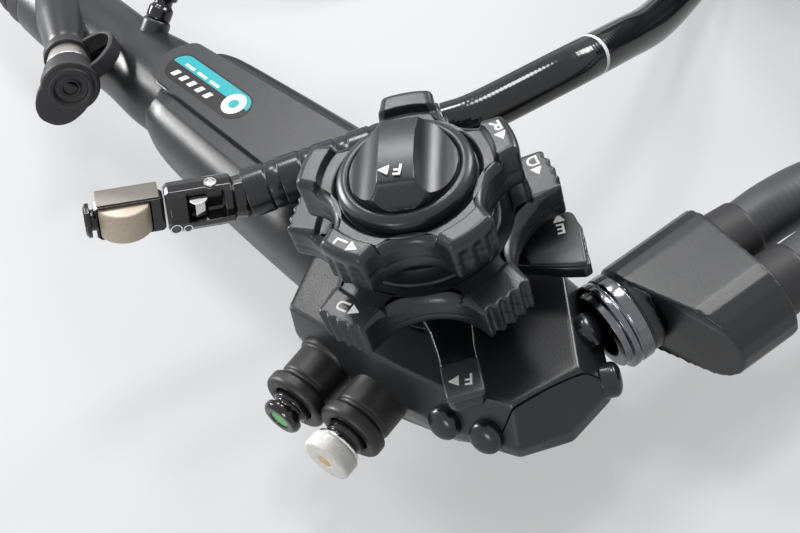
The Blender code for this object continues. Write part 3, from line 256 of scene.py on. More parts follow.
def makeFinish(name, s):
    surface = bpy.data.materials.new(name)
    surface.use_nodes = True
    nodes, links = surface.node_tree.nodes, surface.node_tree.links
    shader = nodes["Principled BSDF"]
    shader.inputs["Metallic"].default_value = s.get("metal", 0.0)
    grain = nodes.new("ShaderNodeGroup")
    grain.node_tree = grainGroup
    grain.inputs["Size"].default_value = s["size"]
    grain.inputs["Patch"].default_value = s["size"] / 40
    tint = nodes.new("ShaderNodeMapRange")
    tint.inputs["To Min"].default_value = 0.82
    tint.inputs["To Max"].default_value = 1.18
    colour = nodes.new("ShaderNodeVectorMath")
    colour.operation = "SCALE"
    colour.inputs[0].default_value = s["colour"]
    rough = nodes.new("ShaderNodeMapRange")
    rough.inputs["From Min"].default_value = 0.3
    rough.inputs["From Max"].default_value = 0.7
    rough.inputs["To Min"].default_value = s["rough"] * (1 - s["spread"])
    rough.inputs["To Max"].default_value = s["rough"] * (1 + s["spread"])
    links.new(grain.outputs["Grain"], tint.inputs["Value"])
    links.new(tint.outputs[0], colour.inputs["Scale"])
    links.new(colour.outputs[0], shader.inputs["Base Color"])
    links.new(grain.outputs["Mottle"], rough.inputs["Value"])
    links.new(rough.outputs[0], shader.inputs["Roughness"])
    addBump(nodes, links, grain.outputs["Grain"], s["bump"], shader)
    return surface


finish = {name: makeFinish(name, s) for name, s in finishes.items()}


def makeGlass():
    surface = makeFinish("lensGlass", {"colour": (0.04, 0.05, 0.07), "rough": 0.05, "spread": 0.05, "size": 900.0,
                                       "bump": 0.0})
    surface.node_tree.nodes["Principled BSDF"].inputs["Coat Weight"].default_value = 0.8
    return surface


finish["lensGlass"] = makeGlass()


def makeSheath(name, colour, rough, pitch, relief, marks=()):
    """Cord sheath with fine rings; marks are white rings as (way from the cord's last end, half width)."""
    surface = makeFinish(name, {"colour": colour, "rough": rough, "spread": 0.12, "size": 1500.0, "bump": 0.04})
    nodes, links = surface.node_tree.nodes, surface.node_tree.links
    shader = nodes["Principled BSDF"]
    rings = nodes.new("ShaderNodeGroup")
    rings.node_tree = ribGroup
    rings.inputs["Pitch"].default_value = pitch
    addBump(nodes, links, rings.outputs["Rib"], relief, shader)
    shown = shader.inputs["Base Color"].links[0].from_socket
    for middle, half in marks:
        away = mathNode(nodes, "COMPARE", middle)
        away.inputs[2].default_value = half
        mix = nodes.new("ShaderNodeMix")
        mix.data_type = "RGBA"
        mix.inputs["B"].default_value = (0.85, 0.86, 0.86, 1.0)
        links.new(rings.outputs["Along"], away.inputs[0])
        links.new(away.outputs[0], mix.inputs["Factor"])
        links.new(shown, mix.inputs["A"])
        shown = mix.outputs["Result"]
    links.new(shown, shader.inputs["Base Color"])
    return surface


# Mesh making: grids of points as whole arrays, in millimetres

def addPiece(name, points, faces, surface, body, sharp=40.0, stands=()):
    mesh = bpy.data.meshes.new(name)
    mesh.from_pydata((np.asarray(points, float) * mm).tolist(), [], faces)
    mesh.update()
    build = bmesh.new()
    build.from_mesh(mesh)
    bmesh.ops.recalc_face_normals(build, faces=build.faces)
    build.to_mesh(mesh)
    build.free()
    return dress(name, mesh, surface, body, sharp, stands)


def dress(name, mesh, surface, body, sharp=40.0, stands=()):
    mesh.name = name
    mesh.materials.clear()
    mesh.materials.append(finish[surface] if isinstance(surface, str) else surface)
    mesh.shade_smooth()
    mesh.set_sharp_from_angle(angle=math.radians(sharp))
    piece = bpy.data.objects.new(name, mesh)
    bpy.context.scene.collection.objects.link(piece)
    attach(piece, body)
    if stands:
        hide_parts(*stands)
    return piece


def gridFaces(rows, columns, ring=False, base=0):
    """Quads of a grid whose columns close on themselves; ring also joins the last row to the first."""
    k = np.arange(rows if ring else rows - 1)[:, None]
    i = np.arange(columns)[None, :]
    j = (i + 1) % columns
    n = (k + 1) % rows
    quads = np.stack([k * columns + i, k * columns + j, n * columns + j, n * columns + i], axis=-1)
    return (quads.reshape(-1, 4) + base).tolist()


def skin(rings, capped=True):
    """Faces of stacked rings of equally many points, with flat lids on both ends."""
    rows, columns = rings.shape[:2]
    faces = gridFaces(rows, columns)
    if capped:
        faces.append(list(range(columns))[::-1])
        faces.append(list(range((rows - 1) * columns, rows * columns)))
    return rings.reshape(-1, 3), faces


def rounded(corners, radius=0.4, steps=4, closed=False):
    """Polyline whose corners become short quadratic curves that leave each side a radius before its end."""
    corners = np.asarray(corners, float)
    count = len(corners)
    out = []
    for i in range(count):
        here = corners[i]
        if not closed and i in (0, count - 1):
            out.append(here)
            continue
        before, after = corners[i - 1] - here, corners[(i + 1) % count] - here
        reach = [min(radius, np.linalg.norm(v) * 0.45) for v in (before, after)]
        start = here + before / max(np.linalg.norm(before), 1e-9) * reach[0]
        stop = here + after / max(np.linalg.norm(after), 1e-9) * reach[1]
        for t in np.linspace(0, 1, steps + 1):
            out.append(start * (1 - t) ** 2 + here * 2 * t * (1 - t) + stop * t * t)
    return np.array(out)


def axes(way, up=(0, 0, 1)):
    z = np.array(Vector(way).normalized())
    x = np.cross(up, z)
    if np.linalg.norm(x) < 1e-6:
        x = np.array((1.0, 0, 0))
    x = x / np.linalg.norm(x)
    return x, np.cross(z, x), z


def turnedRings(profile, sides, origin=(0, 0, 0), way=(0, 0, 1)):
    """Ring k has radius profile[k][0] at profile[k][1] along the way."""
    profile = np.asarray(profile, float)
    angle = np.linspace(0, 2 * math.pi, sides, endpoint=False)
    x, y, z = axes(way)
    around = np.cos(angle)[:, None] * x + np.sin(angle)[:, None] * y
    return np.asarray(origin) + profile[:, 0, None, None] * around[None] + profile[:, 1, None, None] * z


def addTurned(name, profile, origin, way, surface, body, sides=64, corner=0.4, sharp=32.0, stands=()):
    """Body of revolution from (radius, along) pairs whose corners are rounded; both ends get lids."""
    rings = turnedRings(rounded(profile, corner), sides, origin, way)
    points, faces = skin(rings)
    return addPiece(name, points, faces, surface, body, sharp, stands)


def addRing(name, section, origin, way, surface, body, sides=96, corner=0.4, steps=4, sharp=35.0,
            stands=()):
    """Turned ring with a hole, from its closed section of (radius, along) pairs."""
    if corner:
        section = rounded(section, corner, steps, closed=True)
    rings = turnedRings(section, sides, origin, way)
    faces = gridFaces(rings.shape[0], sides, ring=True)
    return addPiece(name, rings.reshape(-1, 3), faces, surface, body, sharp, stands)


def softCopy(nodes, name, voxel, surface, body, smooth=3, sharp=60.0, stands=None):
    """Copy of CAD solids, merged and remeshed so that their edges come out slightly rounded."""
    nodes = [nodes] if isinstance(nodes, str) else nodes
    build = bmesh.new()
    for node in nodes:
        build.from_mesh(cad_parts[node].data)
    bmesh.ops.remove_doubles(build, verts=build.verts, dist=2e-6)
    mesh = bpy.data.meshes.new(name)
    build.to_mesh(mesh)
    build.free()
    return remeshed(mesh, name, voxel, surface, body, smooth, sharp, nodes if stands is None else stands)


def remeshed(mesh, name, voxel, surface, body, smooth, sharp, stands):
    rough = bpy.data.objects.new(name + "Rough", mesh)
    bpy.context.scene.collection.objects.link(rough)
    change = rough.modifiers.new("voxels", "REMESH")
    change.mode = "VOXEL"
    change.voxel_size = voxel * mm
    ease = rough.modifiers.new("ease", "SMOOTH")
    ease.factor = 0.5
    ease.iterations = smooth
    graph = bpy.context.evaluated_depsgraph_get()
    graph.update()
    made = bpy.data.meshes.new_from_object(rough.evaluated_get(graph))
    bpy.data.objects.remove(rough, do_unlink=True)
    return dress(name, made, surface, body, sharp, stands)


def blurred(values, width, axis):
    """Periodic Gaussian blur of an array along one axis; width is in samples."""
    reach = int(max(1, math.ceil(width * 3)))
    total = np.zeros_like(values)
    weight = 0.0
    for step in range(-reach, reach + 1):
        w = math.exp(-0.5 * (step / width) ** 2)
        total += np.roll(values, step, axis=axis) * w
        weight += w
    return total / weight


def evened(points, count):
    """Closed line resampled to equally long steps."""
    closed = np.vstack([points, points[:1]])
    length = np.concatenate([[0], np.cumsum(np.linalg.norm(np.diff(closed, axis=0), axis=1))])
    at = np.linspace(0, length[-1], count, endpoint=False)
    return np.stack([np.interp(at, length, closed[:, k]) for k in range(closed.shape[1])], axis=1)


def easeStep(low, high, value):
    t = np.clip((value - low) / (high - low), 0, 1)
    return t * t * (3 - 2 * t)


def direction(degrees, rise=0.0):
    flat = math.cos(math.radians(rise))
    return np.array((flat * math.cos(math.radians(degrees)), flat * math.sin(math.radians(degrees)),
                     math.sin(math.radians(rise))))


# Lobed hand wheels

wheels = {
    "upDown": {"nodes": ("ud_knob",), "body": "ud_wheel", "bottom": 46.6, "top": 56.0, "outer": 31.5, "scallop": 21.5,
               "half": 6.5, "bore": 5.0, "dish": 19.9, "dishDepth": 1.6, "padIn": 24.0, "padRise": 0.9,
               "lobeFillet": 0.9, "scoopFillet": 3.4, "flutes": 4, "fluteDepth": 1.25, "fluteHigh": 0.97,
               "hub": (17.0, 59.5)},
    "leftRight": {"nodes": ("rl_knob",), "body": "rl_wheel", "bottom": 60.3, "top": 71.9, "outer": 24.8,
                  "scallop": 17.6, "half": 6.0, "bore": 3.3, "dish": 16.1, "dishDepth": 3.0, "padIn": 19.4,
                  "padRise": 1.9, "lobeFillet": 1.7, "scoopFillet": 2.0, "flutes": 3, "fluteDepth": 0.7,
                  "fluteHigh": 0.66, "hub": None},
}
lobeCount = 5
firstLobe = -78.0


def wheelOutline(s, samples):
    """Round-ended lobes on a circle, joined by circular scoops, then blurred so that corners are round."""
    edge = math.degrees(math.asin(s["half"] / s["outer"]))
    gap = 180.0 / lobeCount - edge
    corner = s["outer"] * np.array((math.cos(math.radians(gap)), math.sin(math.radians(gap))))
    centre = (corner @ corner - s["scallop"] ** 2) / (2 * (corner[0] - s["scallop"]))
    scoop = centre - s["scallop"]
    sweep = math.atan2(corner[1], centre - corner[0])
    points = []
    for k in range(lobeCount):
        middle = firstLobe + 360.0 / lobeCount * k
        arc = np.radians(middle + np.linspace(-edge, edge, 40))
        points.append(np.stack([s["outer"] * np.cos(arc), s["outer"] * np.sin(arc)], axis=1))
        turn = math.pi - sweep + 2 * sweep * np.linspace(0.02, 0.98, 60)
        local = np.stack([centre + scoop * np.cos(turn), -scoop * np.sin(turn)], axis=1)
        tilt = math.radians(middle + 180.0 / lobeCount)
        spin = np.array(((math.cos(tilt), math.sin(tilt)), (-math.sin(tilt), math.cos(tilt))))
        points.append(local @ spin)
    line = evened(np.vstack(points), samples)
    step = np.linalg.norm(line[1] - line[0])
    return evened(blurred(line, 1.0 / step, 0), samples)


def makeWheel(name, s, samples=720):
    line = wheelOutline(s, samples)
    ahead = np.roll(line, -1, 0) - np.roll(line, 1, 0)
    ahead /= np.linalg.norm(ahead, axis=1)[:, None]
    outward = np.stack([ahead[:, 1], -ahead[:, 0]], axis=1)
    angle = np.degrees(np.arctan2(line[:, 1], line[:, 0]))
    radius = np.linalg.norm(line, axis=1)
    pitch = 360.0 / lobeCount

    def lobeAside(turned, r):
        return np.radians((turned - firstLobe + pitch / 2) % pitch - pitch / 2) * r

    aside = lobeAside(angle, radius)
    onLobe = easeStep(s["half"] + 1.2, s["half"] - 0.8, np.abs(aside))
    onLobe = onLobe * easeStep(s["outer"] - 4, s["outer"] - 2.2, radius)
    # The rim's fillet only grows where the outline is hollow, so that a lobe's corners don't fold over
    deep = s["outer"] - s["scallop"]
    atLobe = easeStep(s["scallop"] + 0.12 * deep, s["scallop"] + 0.55 * deep, radius)
    fillet = s["scoopFillet"] + (s["lobeFillet"] - s["scoopFillet"]) * atLobe
    fillet = blurred(fillet, 6, 0)
    span = (s["half"] - 0.7) * 2
    flute = (0.5 - 0.5 * np.cos(2 * math.pi * (aside / span + 0.5) * s["flutes"])) ** 0.8
    flute *= onLobe * (np.abs(aside) < span / 2) * s["fluteDepth"]
    thick = s["top"] - s["bottom"]
    plate = s["top"] - s["padRise"]

    def topHeight(turned, r):
        pad = easeStep(s["padIn"] - 0.5, s["padIn"] + 0.6, r)
        pad = pad * easeStep(s["half"] + 0.5, s["half"] - 1.0, np.abs(lobeAside(turned, r)))
        return plate + s["padRise"] * pad

    rings = []
    inner = angle * math.pi / 180

    def circleRow(r, z):
        rings.append(np.stack([r * np.cos(inner), r * np.sin(inner), np.full(samples, z)], axis=1))

    def edgeRow(inset, z, fluteShare):
        flat = line - outward * (inset + flute * fluteShare)[:, None]
        rings.append(np.column_stack([flat, z]))

    def sideRow(inset, z):
        edgeRow(inset, z, easeStep(s["fluteHigh"] + 0.12, s["fluteHigh"] - 0.08, (z - s["bottom"]) / thick))

    circleRow(s["bore"], s["bottom"])
    circleRow(s["scallop"] * 0.7, s["bottom"])
    under = 1.1
    for turn in np.radians(np.linspace(0, 90, 4)):
        edgeRow(np.full(samples, under * (1 - math.sin(turn)) + 0.25),
                np.full(samples, s["bottom"] + under * (1 - math.cos(turn))), 0.7)
    crestAt = line - outward * (fillet + flute)[:, None]
    crest = topHeight(np.degrees(np.arctan2(crestAt[:, 1], crestAt[:, 0])), np.linalg.norm(crestAt, axis=1))
    for share in np.linspace(0.18, 1.0, 12):
        seam = 0.12 if abs(share - 0.4) < 0.03 else 0.0
        sideRow(np.full(samples, 0.25 * (1 - share) + seam),
                s["bottom"] + under + (crest - fillet - s["bottom"] - under) * share)
    for turn in np.radians(np.linspace(12, 90, 8)):
        sideRow(fillet * (1 - math.cos(turn)), crest - fillet * (1 - math.sin(turn)))
    # From the edge inward the rows fan out evenly, so that a lobe's steep flanks don't fold over
    edge = rings[-1][:, :2]
    middle = np.argmin(np.abs((angle - firstLobe + 180) % 360 - 180) + 99 * (radius < s["outer"] - 1))
    fan = np.radians(firstLobe + (np.arange(samples) - middle) * 360.0 / samples)
    way = np.stack([np.cos(fan), np.sin(fan)], axis=1)
    lip = 0.8
    start = s["dish"] + lip
    for share in np.linspace(0, 1, 30)[1:]:
        flat = edge * (1 - share) + way * start * share
        height = topHeight(np.degrees(np.arctan2(flat[:, 1], flat[:, 0])), np.linalg.norm(flat, axis=1))
        rings.append(np.column_stack([flat, height]))
    floor = s["top"] - s["dishDepth"]
    turns = np.radians(np.linspace(20, 90, 4))
    middleRows = [(start - lip * math.sin(turn), plate - lip * (1 - math.cos(turn))) for turn in turns]
    middleRows += [(s["dish"] - 0.1, floor + 0.4), (s["dish"] - 0.6, floor)]
    if s["hub"]:
        hub, hubTop = s["hub"]
        middleRows += [(hub + 0.4, floor), (hub, floor + 0.4), (hub, hubTop - 0.4), (hub - 0.6, hubTop)]
        floor = hubTop
    for r, z in middleRows + [(s["bore"], floor)]:
        rings.append(np.column_stack([way * r, np.full(samples, z)]))
    grid = np.array(rings)
    return addPiece(name, grid.reshape(-1, 3), gridFaces(grid.shape[0], samples, ring=True), "knobPlastic", s["body"],
                    38.0, s["nodes"])


makeWheel("upDownWheel", wheels["upDown"])
makeWheel("leftRightWheel", wheels["leftRight"])
print("hand wheels ready")


# Brake dial with its finger bar

dial = {"rim": 15.3, "face": 73.2, "top": 80.0, "low": 69.1, "well": 12.1, "bar": -44.4, "half": 3.9, "scoop": 8.0,
        "reach": 9.6, "post": 3.35}


def makeDial(s):
    profile = [(s["post"], s["low"]), (s["rim"] - 0.2, s["low"]), (s["rim"], 71.0), (s["rim"] - 0.3, 72.4),
               (s["rim"] - 1.6, s["face"]), (s["well"] + 0.6, s["face"]), (s["well"], s["face"] - 0.7),
               (s["well"] - 0.3, s["face"] - 0.7), (s["post"], s["face"] - 0.7)]
    rings = turnedRings(rounded(profile, 0.7, 5), 144)
    points, faces = rings.reshape(-1, 3), gridFaces(rings.shape[0], 144, ring=True)
    # The bar's height is the soft least of its flat top, the two hollow scoops beside it and its sloping ends
    disc = s["well"] - 0.25
    lines = np.unique(np.concatenate([np.linspace(-disc, disc, 60), np.linspace(-5.2, -3.2, 14),
                                      np.linspace(3.2, 5.2, 14)]))
    across = np.clip(lines, -disc * 0.9995, disc * 0.9995)
    along = np.sin(np.linspace(-math.pi / 2, math.pi / 2, 90))
    q = np.repeat(across[:, None], len(along), 1)
    p = along[None, :] * np.sqrt(disc ** 2 - q ** 2)
    reach = s["half"] + math.sqrt(s["scoop"] ** 2 - (s["face"] + s["scoop"] - s["top"]) ** 2)
    hollow = s["face"] + 0.2 + s["scoop"] - np.sqrt(np.maximum(s["scoop"] ** 2 - (np.abs(q) - reach) ** 2, 0.01))
    hollow = np.where(np.abs(q) < reach - s["scoop"] + 0.02, s["top"] + 4, hollow)
    crown = s["top"] - 0.012 * p ** 2
    slope = s["top"] - (np.abs(p) - s["reach"] + 0.9) * 2.6
    soft = 0.32
    lowest = np.minimum(np.minimum(crown, hollow), slope)
    height = lowest - soft * np.log(sum(np.exp(-(v - lowest) / soft) for v in (crown, hollow, slope)))
    height = np.maximum(height, s["face"] - 0.4)
    turn = math.radians(s["bar"])
    x = p * math.cos(turn) - q * math.sin(turn)
    y = p * math.sin(turn) + q * math.cos(turn)
    top = np.stack([x, y, height], axis=-1)
    foot = np.stack([x, y, np.full_like(x, s["face"] - 1.4)], axis=-1)
    rows, columns = x.shape
    base = len(points)
    k, i = np.meshgrid(np.arange(rows - 1), np.arange(columns - 1), indexing="ij")
    a = k * columns + i
    upper = np.stack([a, a + 1, a + columns + 1, a + columns], axis=-1).reshape(-1, 4)
    lower = upper[:, ::-1] + rows * columns
    border = np.concatenate([np.arange(columns), np.arange(1, rows) * columns + columns - 1,
                             (rows - 1) * columns + np.arange(columns - 2, -1, -1),
                             np.arange(rows - 2, 0, -1) * columns])
    after = np.roll(border, -1)
    wall = np.stack([border, after, after + rows * columns, border + rows * columns], axis=-1)
    points = np.vstack([points, top.reshape(-1, 3), foot.reshape(-1, 3)])
    faces += (np.vstack([upper, lower, wall]) + base).tolist()
    addPiece("brakeDial", points, faces, "knobPlastic", "rl_brake", 40.0, ("rl_brake_dial",))


makeDial(dial)
print("dial ready")


# Control head: corner outlines at five levels, corners and ridges softened, then split at its seams

head = {
    "levels": (0.0, 10.0, 19.0, 24.0, 34.0),
    "outlines": (
        [(-18, -19), (1, -18), (14, -14), (24, -8), (28, -3), (28, 3), (17, 13), (-16, 17), (-27, 12), (-27, -12)],
        [(-23, -26), (2, -25), (19, -20), (32, -12), (37, -5), (37.5, 5.5), (22.5, 19.5), (-19.5, 23.5), (-31, 17),
         (-31, -16)],
        [(-24.5, -28), (2, -27), (22, -23.4), (39, -17), (45.2, -6.4), (44, 6.8), (24, 21.5), (-20.3, 25.4),
         (-31, 18.6), (-31, -17.6)],
        [(-25, -28.6), (2, -27.6), (22.5, -24), (40.5, -17.5), (45.8, -6.5), (45.1, 7), (24.5, 22), (-20.5, 26),
         (-31, 19), (-31, -18)],
        [(-24.2, -27.8), (1.3, -24.3), (20.8, -20.4), (36.9, -13.4), (39.3, -5.7), (41.6, 2.1), (20.9, 18.2),
         (-20, 24), (-31, 14), (-31, -14.9)],
    ),
    "split": 12.0, "capTilt": -16.6, "capSeam": 39.6, "gap": 0.35, "around": 460, "edge": 0.55, "hole": 9.4,
    "lining": (0.78, 0.72, 0.9), "liningLift": 1.6, "liningTop": 30.0,
}


def headGrid(s):
    corners = np.array(s["outlines"], float)
    waist = corners[3]
    sides = np.linalg.norm(np.roll(waist, -1, 0) - waist, axis=1)
    at = np.linspace(0, sides.sum(), s["around"], endpoint=False)
    start = np.concatenate([[0], np.cumsum(sides)])
    which = np.searchsorted(start, at, side="right") - 1
    share = ((at - start[which]) / sides[which])[:, None]
    rows = corners[:, which] * (1 - share) + corners[:, (which + 1) % len(waist)] * share
    step = sides.sum() / s["around"]
    height = np.concatenate([np.arange(0, 24, 0.6), np.arange(24, 34.01, 0.5)])
    walls = []
    for z in height:
        k = min(np.searchsorted(s["levels"], z, side="right") - 1, len(s["levels"]) - 2)
        t = (z - s["levels"][k]) / (s["levels"][k + 1] - s["levels"][k])
        walls.append(np.column_stack([rows[k] * (1 - t) + rows[k + 1] * t, np.full(s["around"], z)]))
    top = walls[-1]
    ways = top[:, :2] / np.linalg.norm(top[:, :2], axis=1)[:, None]
    inner = np.column_stack([ways * s["hole"], np.full(s["around"], s["levels"][-1])])
    foot = walls[0]
    low = [foot * (1, 1, 0) * np.array((1 - t, 1 - t, 1)) for t in (0.9, 0.5, 0.2, 0.08, 0.04)]
    lid = [top + (inner - top) * t for t in (0.02, 0.04, 0.06, 0.09, 0.13, 0.2, 0.35, 0.6, 1.0)]
    grid = np.array(low + walls + lid)
    grid = blurred(grid, s["edge"] / step, 1)
    kept = grid.copy()
    for _ in range(2):
        kept[1:-1] = kept[1:-1] * 0.5 + (kept[:-2] + kept[2:]) * 0.25
    blend = np.zeros(len(grid))
    blend[4:-8] = 1.0
    return grid * (1 - blend[:, None, None]) + kept * blend[:, None, None]


def cutPiece(points, faces, planes, name, surface, stands):
    """Keep what lies behind every plane and close the cuts."""
    build = bmesh.new()
    mesh = bpy.data.meshes.new(name)
    mesh.from_pydata((points * mm).tolist(), [], faces)
    build.from_mesh(mesh)
    bmesh.ops.recalc_face_normals(build, faces=build.faces)
    for place, normal in planes:
        everything = build.verts[:] + build.edges[:] + build.faces[:]
        cut = bmesh.ops.bisect_plane(build, geom=everything, plane_co=Vector(place) * mm, plane_no=Vector(normal),
                                     dist=1e-7, clear_outer=True)
        rim = [item for item in cut["geom_cut"] if isinstance(item, bmesh.types.BMEdge)]
        bmesh.ops.holes_fill(build, edges=rim, sides=0)
    build.to_mesh(mesh)
    build.free()
    return dress(name, mesh, surface, "root", 30.0, stands)


def makeHead(s):
    grid = headGrid(s)
    points, faces = skin(grid)
    seam = direction(s["capTilt"])
    half = s["gap"] / 2
    front = [((0, 0, s["split"] + half), (0, 0, -1)), (seam * (s["capSeam"] - half), seam)]
    back = [((0, 0, s["split"] - half), (0, 0, 1)), (seam * (s["capSeam"] - half), seam)]
    cap = [(seam * (s["capSeam"] + half), -seam)]
    cutPiece(points, faces, front, "headFront", "mouldedShell", ("housing_front",))
    cutPiece(points, faces, back, "headBack", "mouldedShell", ("housing_back",))
    cutPiece(points, faces, cap, "headEndCap", "capBlack", ("end_cap",))
    # Lining inside the shells, in the painted-shade finish, so that the seams read dark
    points, faces = skin(grid * s["lining"] + (0, 0, s["liningLift"]))
    lid = [((0, 0, s["liningTop"]), (0, 0, 1))]
    cutPiece(points, faces, lid, "headLining", "paintedSeamShade", ("inner_frame",))


makeHead(head)

post = [(3.0, 30.0), (3.0, 76.3), (0.01, 76.3)]
addTurned("stackPost", post, (0, 0, 0), (0, 0, 1), "brightSteel", "root", 32, 0.3)
collar = [(7.0, 31.0), (9.0, 31.0), (9.0, 34.3), (14.4, 34.3), (14.4, 35.5), (9.0, 35.6), (9.0, 46.0), (7.0, 46.0)]
addRing("leverCollar", collar, (0, 0, 0), (0, 0, 1), "leverBlack", "root", corner=0.35, steps=3,
        stands=("lever_collar",))
print("head ready")


# Levers under the wheels

def rounded2d(outline, radius, steps=5):
    return rounded(np.asarray(outline, float), radius, steps, closed=True)


def roundedSlab(outline, low, high, edge, steps=4):
    """Rings of a plate whose plan is the outline and whose rims above and below are rounded."""
    line = np.asarray(outline, float)
    ahead = np.roll(line, -1, 0) - np.roll(line, 1, 0)
    ahead /= np.maximum(np.linalg.norm(ahead, axis=1), 1e-9)[:, None]
    inward = np.stack([-ahead[:, 1], ahead[:, 0]], axis=1)
    rims = [(t, low + edge * (1 - math.cos(t))) for t in np.radians(np.linspace(0, 90, steps + 1))]
    rims += [(t, high - edge * (1 - math.cos(t))) for t in np.radians(np.linspace(90, 0, steps + 1))]
    return np.array([np.column_stack([line + inward * edge * (1 - math.sin(t)), np.full(len(line), z)])
                     for t, z in rims])


def carried(rings, origin, x, y, z):
    """Rings built along local axes taken to their place."""
    return (np.asarray(origin) + rings[..., 0:1] * np.asarray(x) + rings[..., 1:2] * np.asarray(y)
            + rings[..., 2:3] * np.asarray(z))


def addSlab(name, outline, low, high, edge, frameOf, surface, body, stands=()):
    points, faces = skin(carried(roundedSlab(outline, low, high, edge), *frameOf))
    return addPiece(name, points, faces, surface, body, 35.0, stands)


def turnedAxes(degrees, origin=(0, 0, 0)):
    return origin, direction(degrees), direction(degrees + 90), (0, 0, 1)


levers = {
    "lockLever": {"node": "ud_brake_lever", "body": "ud_brake", "angle": -33, "low": 36.3, "arm":
                  [(10.5, -6.4), (13.0, -6.2), (18.0, -4.9), (25.0, -4.2), (37.2, -4.2), (38.5, -2.9), (38.5, 2.9),
                   (37.2, 4.2), (25.0, 4.2), (18.0, 4.9), (13.0, 6.2), (10.5, 6.4)]},
    "elevatorLever": {"node": "elevator_lever", "body": "elevator_arm", "angle": 46, "low": 40.3, "arm":
                      [(10.5, -6.6), (13.0, -6.2), (17.6, -5.4), (29.5, -8.6), (33.8, -9.1), (35.2, -8.2),
                       (34.9, -5.6), (34.2, -4.9), (34.5, -2.9), (33.8, -2.1), (34.1, 0.0), (33.4, 0.7), (33.6, 2.7),
                       (31.4, 7.0),
                       (29.4, 8.1), (26.7, 8.1), (17.0, 6.0), (13.0, 6.4), (10.5, 6.6)]},
}
for name, s in levers.items():
    low, high = s["low"], s["low"] + 3.7
    addRing(name + "Ring", [(9.35, low), (13.0, low), (13.0, high), (9.35, high)], (0, 0, 0), (0, 0, 1), "leverBlack",
            s["body"], corner=0.5, stands=(s["node"],))
    addSlab(name, rounded2d(s["arm"], 0.5), low + 0.02, low + 3.68, 0.6, turnedAxes(s["angle"]), "leverBlack",
            s["body"], (s["node"],))
lockPad = rounded2d([(28.6, -4.3), (38.6, -4.3), (38.6, 4.3), (28.6, 4.3)], 1.4)
addSlab("lockLeverPad", lockPad, 39.4, 41.3, 0.7, turnedAxes(levers["lockLever"]["angle"]), "padGrey", "ud_brake",
        ("ud_brake_lever",))
thumbPad = rounded2d([(21.2, -6.8), (29.5, -8.4), (34.6, -8.7), (33.4, 2.0), (31.6, 7.0), (26.5, 7.7), (19.5, 6.4)],
                     1.3)
addSlab("elevatorPad", thumbPad, 43.4, 44.9, 0.7, turnedAxes(levers["elevatorLever"]["angle"]), "knobPlastic",
        "elevator_arm", ("elevator_lever",))
print("levers ready")


# White direction letters, each with its arrow: place, the letter's own up, and where its arrow stands from it

def addPrint(name, polygon, frameOf, lift, body, surface="printWhite"):
    points, faces = skin(carried(roundedSlab(polygon, lift - 0.25, lift + 0.04, 0.02, 1), *frameOf))
    return addPiece(name, points, faces, surface, body, 30.0)


def addLetter(name, letter, size, frameOf, lift, body):
    curve = bpy.data.curves.new(name, "FONT")
    curve.body = letter
    curve.size = size
    curve.offset = size * 0.016
    curve.extrude = 0.12
    curve.resolution_u = 4
    curve.align_x = "CENTER"
    curve.align_y = "CENTER"
    flat = bpy.data.objects.new(name, curve)
    made = bpy.data.meshes.new_from_object(flat)
    points = np.array([tuple(v.co) for v in made.vertices])
    faces = [list(p.vertices) for p in made.polygons]
    bpy.data.objects.remove(flat)
    bpy.data.meshes.remove(made)
    points[:, :2] -= (points[:, :2].min(axis=0) + points[:, :2].max(axis=0)) / 2
    points[:, 2] += lift - 0.08
    addPiece(name, carried(points, *frameOf), faces, "printWhite", body, 30.0)


prints = {
    "U": {"place": (4.0, -26.9), "up": 14.0, "top": 56.0, "arrow": (0, 2.95), "body": "ud_wheel"},
    "D": {"place": (7.8, 26.7), "up": -23.0, "top": 56.0, "arrow": (0, 2.95), "body": "ud_wheel"},
    "L": {"place": (3.5, -21.6), "up": 12.0, "top": 71.9, "arrow": (0, 3.0), "body": "rl_wheel"},
    "R": {"place": (6.6, 20.9), "up": -21.0, "top": 71.9, "arrow": (0, 3.0), "body": "rl_wheel"},
    "F": {"place": (5.0, -4.1), "up": -51.0, "top": 79.85, "arrow": (2.85, 0), "body": "rl_brake"},
    "lockF": {"place": (29.6, -17.6), "up": -42.0, "top": 41.3, "arrow": (3.0, 0), "body": "ud_brake"},
    "E": {"place": (18.6, 22.2), "up": -35.0, "top": 44.9, "arrow": (0, -3.0), "body": "elevator_arm"},
}
for name, s in prints.items():
    place = (s["place"][0], s["place"][1], 0)
    onTop = (place, direction(s["up"] - 90), direction(s["up"]), (0, 0, 1))
    addLetter("letter" + name, name[-1], 4.1, onTop, s["top"], s["body"])
    tip = np.array(s["arrow"]) / math.hypot(*s["arrow"])
    wide = np.array((tip[1], -tip[0]))
    middle = np.array(s["arrow"])
    corners = [middle - tip * 0.9 + wide * 1.4, middle + tip * 1.5, middle - tip * 0.9 - wide * 1.4]
    addPrint("arrow" + name, rounded2d(corners, 0.18, 2), onTop, s["top"], s["body"])
print("letters ready")


# Valves and remote buttons

valveWay = direction(-80)
valveOffsets = {"suction": -19.5, "air_water": -2.5}
valveSeats = {name: direction(10) * offset + (0, 0, 20.0) for name, offset in valveOffsets.items()}
sleeve = [(5.0, 21.0), (7.3, 21.0), (7.3, 23.2), (7.9, 23.6), (7.9, 25.4), (7.2, 25.9), (7.2, 33.0), (6.7, 33.5),
          (6.7, 34.3), (8.2, 34.9), (8.2, 37.6), (7.5, 38.4), (5.6, 38.4), (5.0, 37.8)]
for name, seat in valveSeats.items():
    addRing(name + "Sleeve", sleeve, seat, valveWay, "sealRubber", "root", corner=0.6, steps=5,
            stands=(name + "_cylinder",))

